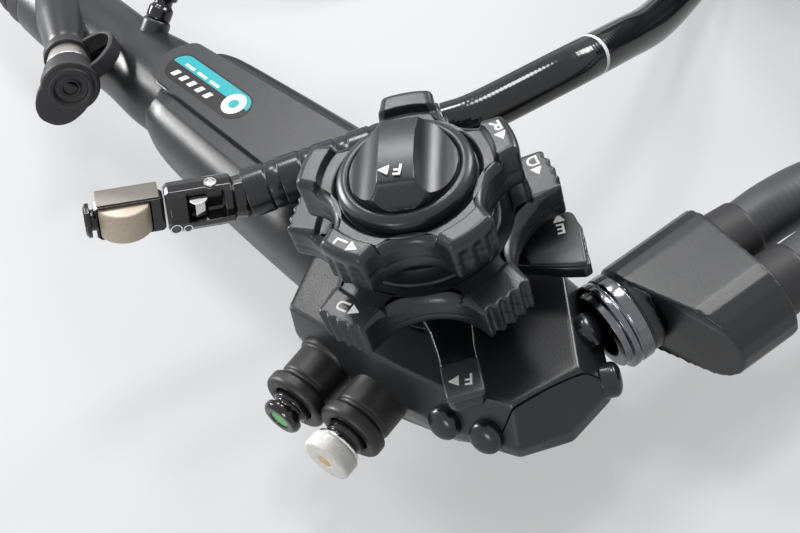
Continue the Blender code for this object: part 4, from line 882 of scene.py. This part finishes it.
valveParts = {
    "suctionButton": ([(0.01, 25.0), (4.6, 25.0), (4.6, 39.4), (3.9, 39.9), (3.9, 40.9), (4.9, 41.3), (4.9, 42.6),
                       (4.2, 43.4), (2.7, 43.4), (2.5, 43.0), (0.01, 43.0)],
                      "suction", "suction_button", "glossBlack", "gloss", 72, 0.3),
    "suctionMark": ([(0.01, 42.9), (2.3, 42.9), (2.3, 43.12), (0.01, 43.14)],
                    "suction", "suction_button", "dotGreen", "white", 48, 0.06),
    "airWaterStem": ([(0.01, 25.0), (4.7, 25.0), (4.7, 40.2), (4.4, 40.4), (4.4, 40.7), (4.7, 40.9), (4.7, 42.1),
                      (0.01, 42.1)],
                     "air_water", "air_water_piston", "glossBlack", "gloss", 72, 0.15),
    "airWaterBand": ([(0.01, 41.5), (5.5, 41.5), (5.6, 41.7), (5.6, 42.2), (5.4, 42.38), (0.01, 42.38)],
                     "air_water", "air_water_piston", "brightSteel", "steel", 72, 0.12),
    "airWaterCap": ([(0.01, 42.4), (5.9, 42.4), (6.2, 42.7), (6.2, 46.2), (5.7, 46.75), (1.9, 46.8), (1.7, 46.5),
                     (0.01, 46.5)],
                    "air_water", "air_water_cap", "whiteCap", "white", 96, 0.7),
    "airWaterMark": ([(0.01, 46.4), (1.6, 46.4), (1.6, 46.65), (0.01, 46.68)],
                     "air_water", "air_water_cap", "dotYellow", "white", 40, 0.06),
}
for name, (profile, valve, node, surface, slotName, sides, corner) in valveParts.items():
    addTurned(name, profile, valveSeats[valve], valveWay, surface, valve + "_valve", sides, corner,
              stands=(node,))

remoteButtons = {
    "remote_button_1": ((23.0, -22.8, 25.3), -76.0, 20.0, "remote_1"),
    "remote_button_2": ((33.0, -19.4, 25.3), -70.0, 20.0, "remote_2"),
    "remote_button_3": ((32.8, 11.8, 29.6), 52.0, 27.5, "remote_3"),
    "remote_button_4": ((42.6, 7.9, 24.0), 52.0, 0.0, "remote_4"),
}
domeTurn = np.radians(np.linspace(0, 90, 9))
dome = [(0.01, -1.4), (4.0, -1.4), (4.0, 1.0)]
dome += [(0.9 + 3.1 * math.cos(t), 1.3 + 1.9 * math.sin(t)) for t in domeTurn] + [(0.01, 3.25)]
for node, (seat, angle, rise, body) in remoteButtons.items():
    addTurned(node + "_dome", dome, seat, direction(angle, rise), "bendRubber", body, 56, 0.25,
              stands=(node,))
print("valves and buttons ready")


# Umbilical neck, branch housing and boots

umbilicalWay = direction(82)


def umbilicalPoint(reach, aside=0.0):
    return np.array((33.2, 23.5, 24.2)) + umbilicalWay * reach + direction(-8) * aside


neckRing = [(6.3, -7.2), (9.3, -7.2), (9.3, -5.5), (10.8, -5.4), (10.8, -3.9), (10.4, -3.6), (10.4, -3.1),
            (10.8, -2.8), (10.8, -0.1), (6.3, 0.0)]
addRing("neckRing", neckRing, umbilicalPoint(0), umbilicalWay, "darkChrome", "root", 128, 0.3,
        stands=("umbilical_ring",))
addTurned("neckGroove", [(0.01, -0.2), (10.1, -0.2), (10.1, 2.2), (0.01, 2.2)], umbilicalPoint(0), umbilicalWay,
          "glossBlack", "root", 96, 0.1, stands=("branch_housing",))
softCopy("branch_housing", "branchHousing", 0.42, "mouldedShell", "root", 4)
bootProfile = [(0.01, 0.3), (8.1, 0.3), (8.2, 1.0), (8.0, 3.6), (7.6, 8.2), (7.2, 9.0), (0.01, 9.0)]
for name, aside in (("light_guide_boot", 0.0), ("scan_cord_boot", 17.0)):
    addTurned(name + "_cone", bootProfile, umbilicalPoint(26, aside), umbilicalWay, "softRubber", "root",
              72, 0.5, stands=(name,))


# Grip, its top panel, neck sleeve, instrument port and boot

def smoothTable(stations, at):
    """Values between stations by a monotone cubic, one column for each quantity."""
    table = np.asarray(stations, float)
    x, values = table[:, 0], table[:, 1:]
    step = np.diff(values, axis=0) / np.diff(x)[:, None]
    slope = np.vstack([step[:1], (step[1:] + step[:-1]) / 2, step[-1:]])
    ends = np.zeros((1, values.shape[1]), bool)
    slope[np.vstack([ends, step[1:] * step[:-1] <= 0, ends])] = 0
    k = np.clip(np.searchsorted(x, at, side="right") - 1, 0, len(x) - 2)
    width = (x[k + 1] - x[k])[:, None]
    t = (at - x[k])[:, None] / width
    return ((2 * t ** 3 - 3 * t ** 2 + 1) * values[k] + (t ** 3 - 2 * t ** 2 + t) * width * slope[k]
            + (3 * t ** 2 - 2 * t ** 3) * values[k + 1] + (t ** 3 - t ** 2) * width * slope[k + 1])


gripLine = np.array((3.8, 19.8))
gripStations = [(31.3, 20.0, 6.0, 32.2), (45, 19.6, 5.5, 32.2), (66, 18.5, 5.5, 32.2), (90, 16.9, 6.5, 32.2),
                (106, 15.5, 7.5, 32.2), (112, 14.4, 8.2, 31.4)]


def makeGrip():
    far = np.concatenate([np.linspace(31.3, 32.1, 4), np.linspace(33, 110.6, 70), np.linspace(111, 112, 5)])
    half, low, high = smoothTable(gripStations, far).T
    shrink = 0.5 * np.sqrt(np.maximum(0, 1 - (np.minimum(far - 31.3, 0.8) / 0.8 - 1) ** 2)) - 0.5
    shrink += 0.7 * np.sqrt(np.maximum(0, 1 - (1 - np.minimum(112 - far, 1.2) / 1.2) ** 2)) - 0.7
    angle = np.radians(90) + np.linspace(0, 2 * math.pi, 180, endpoint=False)
    c, s = np.cos(angle), np.sin(angle)
    power = 2 / 3.2
    side = (half[:, None] + shrink[:, None]) + 2.0 * easeStep(-0.25, 0.25, c)[None]
    y = side * np.sign(c) * np.abs(c) ** power
    tall = (high - low)[:, None] / 2 + shrink[:, None]
    z = tall * np.sign(s) * np.abs(s) ** power
    z = np.where(s > 0, np.minimum(z * 1.06, tall), z)
    grid = np.stack([np.repeat(-far[:, None], 180, 1), gripLine[0] + y, (low + high)[:, None] / 2 + z], axis=-1)
    points, faces = skin(grid)
    addPiece("gripShell", points, faces, "mouldedShell", "root", 40.0, ("grip_shell",))


makeGrip()
panel = rounded2d([(-34, -5.5), (-34, 17.5), (-56, 17.0), (-115.4, 13.6), (-118.9, 8.5), (-118.9, 4.0),
                   (-116.4, -0.5), (-65, -1.8)], 1.8)[::-1]
plainFrame = ((0, 0, 0), (1, 0, 0), (0, 1, 0), (0, 0, 1))
addSlab("gripPanel", panel, 31.4, 34.0, 0.7, plainFrame, "mouldedShell", "root", ("grip_panel",))


# Plain badge on the panel: a dark stadium, a teal half, a pale disc and short bars

def stadium(left, right, y, half, steps=16):
    turn = np.radians(np.linspace(-90, 90, steps))
    there = np.stack([right - half + half * np.cos(turn), y + half * np.sin(turn)], axis=1)
    return np.vstack([there, np.stack([left + half - half * np.cos(turn), y - half * np.sin(turn)], axis=1)])


badge = {
    "left": -116.0, "right": -82.5, "y": 5.8, "half": 4.7, "lift": 34.04, "disc": -88.0,
    "bars": {
        "badgeBar": (5, -112.2, 3.6, [(0, 2.5), (1.7, 2.5), (2.6, 4.6), (0.9, 4.6)]),
        "badgeLine": (3, -111.0, 5.4, [(0, 6.8), (3.9, 6.8), (3.9, 7.6), (0, 7.6)]),
    },
}
whole = stadium(badge["left"], badge["right"], badge["y"], badge["half"])
addPrint("badgeRim", whole, plainFrame, badge["lift"], "root", "badgeBlack")
inner = stadium(badge["left"] + 0.5, badge["right"] - 0.5, badge["y"], badge["half"] - 0.5)
half = inner[inner[:, 1] > badge["y"] - 0.4]
half = half[np.argsort(np.arctan2(half[:, 1] - badge["y"] - 1.0, half[:, 0] + 99.0))]
addPrint("badgeTealHalf", half, plainFrame, badge["lift"] + 0.05, "root", "badgeTeal")
turn = np.linspace(0, 2 * math.pi, 40, endpoint=False)
discAt = (badge["disc"], badge["y"])
disc = np.stack([discAt[0] + 3.5 * np.cos(turn), discAt[1] + 3.5 * np.sin(turn)], axis=1)
addPrint("badgeDisc", disc, plainFrame, badge["lift"] + 0.1, "root")
addPrint("badgeDot", (disc - discAt) * 0.42 + discAt, plainFrame, badge["lift"] + 0.15, "root", "badgeTeal")
for name, (count, left, pitch, shape) in badge["bars"].items():
    for k in range(count):
        bar = np.array(shape) + (left + pitch * k, 0)
        addPrint("%s_%d" % (name, k), bar, plainFrame, badge["lift"] + 0.1, "root")


def makeNeck():
    far = np.concatenate([np.linspace(112.3, 113.3, 4), np.linspace(114, 185.2, 60), (185.6, 185.9, 186.0)])
    radius = smoothTable([(112.3, 11.9), (124, 12.2), (143, 10.8), (172, 11.2), (186, 10.4)], far)[:, 0]
    for fromEnd in ((far - 112.2) / 1.0, (186.05 - far) / 0.8):
        radius = radius - 0.6 * (1 - np.sqrt(np.clip(fromEnd, 0, 1)))
    angle = np.linspace(0, 2 * math.pi, 120, endpoint=False)
    fuller = 1 + 2.2 / radius[:, None] * easeStep(-0.2, 0.2, np.cos(angle))[None]
    grid = np.stack([np.repeat(-far[:, None], 120, 1), gripLine[0] + radius[:, None] * np.cos(angle) * fuller,
                     gripLine[1] + radius[:, None] * np.sin(angle)], axis=-1)
    points, faces = skin(grid)
    addPiece("neckSleeve", points, faces, "mouldedShell", "root", 40.0, ("neck_sleeve",))


makeNeck()
portSeat = np.array((-177.3, 5.5, 24.8))
portWay = np.array(Vector((0.876, -0.457, 0.154)).normalized())
nose = [(0.01, 2), (7.6, 2), (7.45, 14), (6.5, 22), (5.6, 29.0), (5.15, 30.2), (5.1, 31.9), (0.01, 31.9)]
addTurned("portNose", nose, portSeat, portWay, "mouldedShell", "root", 80, 1.2, stands=("neck_sleeve",))
barrel = [(0.01, 31.8), (4.9, 31.8), (5.2, 32.6), (5.2, 33.6), (4.95, 33.9), (4.95, 34.4), (5.4, 34.9), (6.3, 40.4),
          (6.3, 41.1), (6.1, 41.3), (6.1, 41.7), (6.4, 42.0), (6.4, 42.4), (0.01, 42.4)]
addTurned("portBarrel", barrel, portSeat, portWay, "brushedSteel", "root", 96, 0.2, stands=("port_collar",))
seal = [(0.01, 42.4), (7.0, 42.4), (7.2, 43.0), (7.2, 46.4), (8.0, 46.9), (8.0, 49.3), (7.5, 49.9), (6.4, 49.9),
        (6.1, 50.5), (5.5, 50.8), (4.6, 50.5), (4.3, 49.8), (2.9, 49.7), (2.6, 50.2), (2.2, 50.2), (1.9, 49.6),
        (1.7, 46.5), (0.01, 46.4)]
addTurned("portSeal", seal, portSeat, portWay, "softRubber", "root", 96, 0.35, stands=("port_seal",))
tabCos, tabSin = math.cos(math.radians(-49.5)), math.sin(math.radians(-49.5))
tabX, tabY, tabZ = axes(portWay)
tabFrame = (portSeat, tabX * tabCos + tabY * tabSin, tabY * tabCos - tabX * tabSin, tabZ)
tab = rounded2d([(-7.4, 1.0), (-7.0, -6.0), (-5.4, -10.4), (-2.4, -13.0), (2.4, -13.0), (5.4, -10.4), (7.0, -6.0),
                 (7.4, 1.0)], 1.8)
addSlab("portTab", tab, 47.4, 49.5, 0.6, tabFrame, "softRubber", "root", ("port_seal",))


def makeStrap():
    """Flat rubber strap from the seal's rim, out and back to a ring round the barrel."""
    turn = math.radians(11)
    out = tabX * math.cos(turn) + tabY * math.sin(turn)
    aside = np.cross(tabZ, out)
    path = rounded([(7.0, 48.3), (10.5, 47.4), (14.2, 43.5), (15.0, 38.0), (12.6, 34.4), (9.0, 33.6), (5.3, 33.6)],
                   3.0, 6)
    ahead = np.gradient(path, axis=0)
    ahead /= np.linalg.norm(ahead, axis=1)[:, None]
    across = np.stack([-ahead[:, 1], ahead[:, 0]], axis=1)
    section = rounded2d([(-2.3, -0.7), (2.3, -0.7), (2.3, 0.7), (-2.3, 0.7)], 0.35, 3)
    rings = []
    for spot, normal in zip(path, across):
        flat = spot[None] + section[:, 1:2] * normal[None]
        rings.append(portSeat + flat[:, 0:1] * out + flat[:, 1:2] * tabZ + section[:, 0:1] * aside)
    points, faces = skin(np.array(rings))
    addPiece("portStrap", points, faces, "softRubber", "root", 40.0, ("port_seal",))
    addRing("strapRing", [(5.1, 31.8), (6.5, 31.8), (6.5, 35.0), (5.1, 35.0)], portSeat, portWay, "softRubber",
            "root", 72, sharp=40.0, stands=("port_seal",))


makeStrap()
jetWay = np.array(Vector((-0.1, 0.78, 0.62)).normalized())
jetSeat = np.array((-137.0, *gripLine))
addTurned("jetFoot", [(0.01, 4), (4.2, 4), (4.0, 14.2), (3.5, 15.0), (0.01, 15.0)], jetSeat, jetWay, "mouldedShell",
          "root", 48, 0.5, stands=("neck_sleeve",))
jet = [(0.01, 15.0), (3.3, 15.0), (3.5, 15.6), (3.5, 18.2), (2.9, 18.8), (2.5, 19.4), (2.5, 20.6), (3.4, 21.0),
       (3.6, 22.6), (3.4, 24.2), (2.6, 24.7), (2.6, 25.4), (3.1, 25.8), (3.1, 29.2), (1.9, 29.4), (1.8, 26.0),
       (0.01, 26.0)]
addTurned("jetPort", jet, jetSeat, jetWay, "glossBlack", "root", 64, 0.35, stands=("jet_port",))


def makeBoot():
    length, shoulder, count = 48.0, 7.0, 5
    pitch = (length - shoulder - 2.0) / count
    profile = [(0.01, 0.1), (9.7, 0.1), (9.9, 0.6), (9.9, shoulder - 0.6), (9.2, shoulder)]
    for k in range(count):
        z, radius = shoulder + pitch * (k + 0.2), 9.2 - 0.75 * k
        profile += [(radius - 1.0, z - pitch * 0.12), (radius, z), (radius, z + pitch * 0.45),
                    (radius - 1.0, z + pitch * 0.6)]
    profile += [(6.0, length - 0.6), (5.7, length), (0.01, length)]
    addTurned("tubeBoot", profile, (-186, *gripLine), (-1, 0, 0), "softRubber", "root", 72, 0.5,
              stands=("tube_boot",))


makeBoot()
print("grip and port ready")


# Bending section: each link's ball turns in the cup of the one before it

bendEnd = np.array((-56.0, -17.0, 40.3))
bendAngle = 62
bendStart, bendPitch = 47, 9


def bendPoint(reach):
    return bendEnd + direction(bendAngle) * reach


def ballArc(radius, low, high, steps=20):
    turns = np.linspace(math.asin(low / radius), math.asin(high / radius), steps)
    return [(radius * math.cos(t), radius * math.sin(t)) for t in turns]


def cupArc(middle, radius=5.96, steps=20):
    turns = np.linspace(math.asin(-1.6 / radius), -math.pi / 2 + 0.002, steps)
    return [(radius * math.cos(t), middle + radius * math.sin(t)) for t in turns]


towardsTip = -direction(bendAngle)
baseProfile = [(0.01, -7.0), (5.5, -7.0), (5.75, -6.6), (5.75, -5.8), (6.0, -5.5), (6.0, -1.75), (5.9, -1.6)]
addTurned("bendBase", baseProfile + cupArc(0.0), bendPoint(bendStart), towardsTip, "bendRubber", "root", 72,
          0.12, stands=("bending_base",))
linkProfile = [(0.01, -5.4)] + ballArc(5.85, -5.4, 1.45) + [(5.68, 1.6), (5.95, 1.85), (6.02, 2.3), (6.02, 7.0),
                                                           (5.98, 7.3), (5.88, 7.4)] + cupArc(bendPitch)
for number in range(1, 6):
    addTurned("bendLink_%d" % number, linkProfile, bendPoint(bendStart - bendPitch * (number - 1)), towardsTip,
              "bendRubber", "link_%d" % number, 72, 0.1, stands=("bending_link_%d" % number,))


# Rigid tip

tipPitch = math.radians(14)
tipWay = towardsTip * math.cos(tipPitch) + np.array((0, 0, math.sin(tipPitch)))
tipFace = np.array(Vector((-tipWay[1], tipWay[0], 0)).normalized())
tipRise = np.cross(tipWay, tipFace)
tipFrame = (bendPoint(2), tipWay, tipFace, tipRise)


def onTip(along, aside, lift):
    return tipFrame[0] + tipWay * along + tipFace * aside + tipRise * lift


softCopy("distal_body", "distalBody", 0.13, "glossBlack", "tip", 2)
softCopy("transducer_housing", "transducerHousing", 0.13, "glossBlack", "tip", 2)
softCopy("elevator", "elevatorRamp", 0.07, "brightSteel", "tip_elevator", 2)


def makeLens():
    """Acoustic lens: a bow over the array's face, seen from the side, with a flat back."""
    radius, width, middle, height, depth = 7.2, 12.3, 28.2, 5.5, 2.6
    half = math.degrees(math.asin(width / 2 / radius))
    turn = np.radians(np.linspace(90 - half, 90 + half, 60))
    low = height - radius
    bow = np.stack([middle + radius * np.cos(turn), low + radius * np.sin(turn)], axis=1)
    back = low + math.cos(math.radians(half)) * radius - depth
    outline = np.vstack([bow, [(middle - width / 2, back), (middle + width / 2, back)]])
    rings = roundedSlab(rounded2d(outline, 0.12, 2), -4.5, 4.5, 0.55, 5)
    points, faces = skin(carried(rings, *tipFrame))
    addPiece("acousticLens", points, faces, "lensResin", "tip", 40.0, ("acoustic_lens",))


makeLens()
topPlate = rounded2d([(19.6, -3.9), (34.6, -3.9), (34.6, 1.5), (19.6, 1.5)], 0.5)
addSlab("lensPlate", topPlate, 5.2, 5.62, 0.12, tipFrame, "greyPlate", "tip", ("transducer_housing",))
inserts = {
    "objective_lens": ((16.7, 0, -1.7), (0, 1, 0), 1.15, 5.95, "lensGlass", "lens"),
    "light_lens": ((13.9, 0, -2.2), (0, 1, 0), 0.85, 5.78, "lensGlass", "lens"),
    "water_nozzle": ((7.2, 0, 0), (0, 0, 1), 1.2, 6.35, "brightSteel", "steel"),
}
for node, (start, way, radius, proud, surface, slotName) in inserts.items():
    worldWay = tipWay * way[0] + tipFace * way[1] + tipRise * way[2]
    profile = [(0.01, 3.0), (radius, 3.0), (radius, proud - 0.3), (radius * 0.75, proud - 0.05), (0.01, proud)]
    addTurned(node + "_face", profile, onTip(*start), worldWay, surface, "tip", 40, 0.2, stands=(node,))
    ring = [(radius, 5.2), (radius + 0.28, 5.2), (radius + 0.28, proud + 0.02), (radius, proud + 0.02)]
    addRing(node + "_rim", ring, onTip(*start), worldWay, "brightSteel", "tip", 40, 0, sharp=30.0,
            stands=(node,))
print("tip ready")


# Connectors, out of the photograph's view

softCopy("light_guide_connector", "guideConnector", 0.8, "mouldedShell", "root", 5)
softCopy("light_guide_plug", "guidePlug", 0.35, "brushedSteel", "root", 2)
softCopy("scan_connector", "scanConnector", 0.8, "mouldedShell", "root", 4)
softCopy("scan_contact_block", "contactBlock", 0.5, "brushedSteel", "root", 1)
softCopy("connector_lock", "lockKnob", 0.35, "knobPlastic", "plug_lock", 3)
for drum, wheel in (("ud_drum", "ud_wheel"), ("rl_drum", "rl_wheel")):
    softCopy(drum, drum + "Turned", 0.3, "brushedSteel", wheel, 2)
print("connectors ready")


# Cords: one line for each, from where it leaves the object through its coil to its far end

def beside(coil, diameter, angle, way, back=0.0):
    slant = abs(math.cos(math.radians(way - angle - 90)))
    reach = coil[2] + diameter * (1 + slant / 2) + 0.15
    return np.array((coil[0], coil[1], coil[3] + diameter / 2)) + direction(angle) * reach - direction(way) * back


def coilKnots(coil, diameter, start, sweep, sense, down=False):
    """Turns of a coil: outer turn, inner turn, then up over both. The climb, and the way down where there is
    one, run round the outer turn's own section, clear of it all the way."""
    knots = []
    for s in np.arange(12, sweep, 12):
        outer = coil[2] + 0.52 * diameter
        if s < 540:
            r = outer - 1.04 * diameter * easeStep(270, 360, s) + 0.9 * diameter * (1 - easeStep(-30, 48, s))
            z = 0.5 * diameter
        else:
            off = 180 - 64 * easeStep(540, 645, s)
            away = 1.04 + 0.12 * easeStep(540, 645, s)
            if down:
                off -= 116 * easeStep(sweep - 125, sweep + 5, s)
            r = outer + away * diameter * math.cos(math.radians(off))
            z = diameter * (0.5 + away * math.sin(math.radians(off)))
        spot = np.array((coil[0], coil[1], coil[3])) + direction(start + sense * s) * r
        knots.append(spot + np.array((0, 0, z)))
    return knots


def smoothLine(knots, floor, fine=8):
    """Smooth curve through every knot, no lower than the cord's own radius."""
    knots = np.array([np.asarray(k, float) for k in knots])
    padded = np.vstack([2 * knots[0] - knots[1], knots, 2 * knots[-1] - knots[-2]])
    a, b, c, d = padded[:-3, None], padded[1:-2, None], padded[2:-1, None], padded[3:, None]
    t = (np.arange(fine) / fine)[None, :, None]
    line = 0.5 * (2 * b + (c - a) * t + (2 * a - 5 * b + 4 * c - d) * t ** 2 + (3 * b - a - 3 * c + d) * t ** 3)
    line = np.vstack([line.reshape(-1, 3), knots[-1:]])
    line[:, 2] = np.maximum(line[:, 2], floor)
    return line


def resampled(line, step):
    length = np.concatenate([[0], np.cumsum(np.linalg.norm(np.diff(line, axis=0), axis=1))])
    at = np.linspace(0, length[-1], int(length[-1] / step) + 2)
    return np.stack([np.interp(at, length, line[:, k]) for k in range(3)], axis=1), at


def makeCord(name, knots, diameter, surface, stands, sides=28):
    line, at = resampled(smoothLine(knots, diameter / 2 + 0.02), 2.2)
    ahead = np.gradient(line, axis=0)
    ahead /= np.linalg.norm(ahead, axis=1)[:, None]
    side = np.cross(ahead[0], (0, 0, 1.0))
    rings = []
    angle = np.linspace(0, 2 * math.pi, sides, endpoint=False)
    for point, way in zip(line, ahead):
        side = side - way * (side @ way)
        side /= np.linalg.norm(side)
        other = np.cross(way, side)
        rings.append(point + diameter / 2 * (np.cos(angle)[:, None] * side + np.sin(angle)[:, None] * other))
    points, faces = skin(np.array(rings))
    piece = addPiece(name, points, faces, surface, "root", 60.0, stands)
    along = piece.data.uv_layers.new(name="along")
    ringOf = np.arange(len(points)) // sides
    corner = np.empty(len(piece.data.loops), dtype=np.int32)
    piece.data.loops.foreach_get("vertex_index", corner)
    values = np.zeros((len(corner), 2), dtype=np.float32)
    values[:, 0] = (at[-1] - at[ringOf[corner]]) * mm
    along.data.foreach_set("uv", values.ravel())
    return line


# Each coil: centre, radius at the middle of its turns, height of what it lies on
tubeWide, cordWide = 10.8, 14.0
tubeCoil = (-180.0, 116.0, 54.0, 0.0)
guideCoil = (-20.0, 222.0, 64.0, 0.0)
scanCoil = (-20.0, 222.0, 64.0, 28.72)
boot = np.array((-233.2, *gripLine))
tubeKnots = [boot, boot - (7.4, 0, 0), (-252, 5.6, 17.2), (-264, 12.5, 12.4), (-272.5, 25, 7.6), (-275, 41, 5.4),
             (-272.5, 58, 5.4), (-266.5, 74.5, 5.4), beside(tubeCoil, tubeWide, 187, 64, 8)]
tubeKnots += coilKnots(tubeCoil, tubeWide, 187, 850, -1, down=True)
tubeKnots += [(-118, 172.5, 5.4), (-100, 167, 5.4), (-82, 159, 5.4), (-66, 148.5, 5.4), (-52.5, 138, 6.0),
              (-42.5, 126, 8.4), (-35.5, 111, 13.6), (-29.4, 97, 20.5), (-25, 84, 28.4), (-22, 71, 35.0),
              (-21.4, 60, 38.8), bendPoint(62.6), bendPoint(54.1)]
tubeSheath = makeSheath("tubeSheath", (0.009, 0.010, 0.012), 0.13, 0.0011, 0.03, ((0.0426, 0.0006),))
makeCord("insertionTube", tubeKnots, tubeWide, tubeSheath, ("insertion_lead", "insertion_tube", "insertion_coil"))


def wayOut(coil, plugHeight, plugX):
    """Straight end of an umbilical cord, off the top of its coil to its connector."""
    top = coil[3] + 1.542 * cordWide
    line = []
    for x in (-32.0, -48.0, -64.0, -78.0, -91.0, plugX):
        height = top + (plugHeight - top) * easeStep(-62.0, plugX - 4, x)
        line.append((x, coil[1] + coil[2], height))
    return line


cordSheath = makeSheath("cordSheath", (0.040, 0.042, 0.047), 0.48, 0.0016, 0.06)
start, way = umbilicalPoint(34.4), umbilicalWay
guideKnots = [start, start + way * 9, start + way * 22 + (0, 0, -3), start + way * 42 + (2, 0, -10.5),
              (49.5, 122, 8.4), (52, 145, 7), (54.2, 165, 7), beside(guideCoil, cordWide, -24, 76, 9)]
guideKnots += coilKnots(guideCoil, cordWide, -24, 834, 1)
guideKnots += wayOut(guideCoil, 20.0, -104.0)
makeCord("lightGuideCord", guideKnots, cordWide, cordSheath,
         ("light_guide_cord", "light_guide_coil", "light_guide_tail"))

start = umbilicalPoint(34.4, 17.0)
scanKnots = [start, start + way * 9, start + way * 20 + (0, 0, -0.5), (60.9, 97, 25.7), (62.8, 122, 28.5),
             (64, 148, 32.0), (64.4, 172, 34.8), beside(scanCoil, cordWide, -6, 90, 9)]
scanKnots += coilKnots(scanCoil, cordWide, -6, 816, 1)
scanKnots += wayOut(scanCoil, 56.8, -104.0)
makeCord("scanCord", scanKnots, cordWide, cordSheath, ("scan_cord", "scan_coil", "scan_tail"))
print("cords ready")
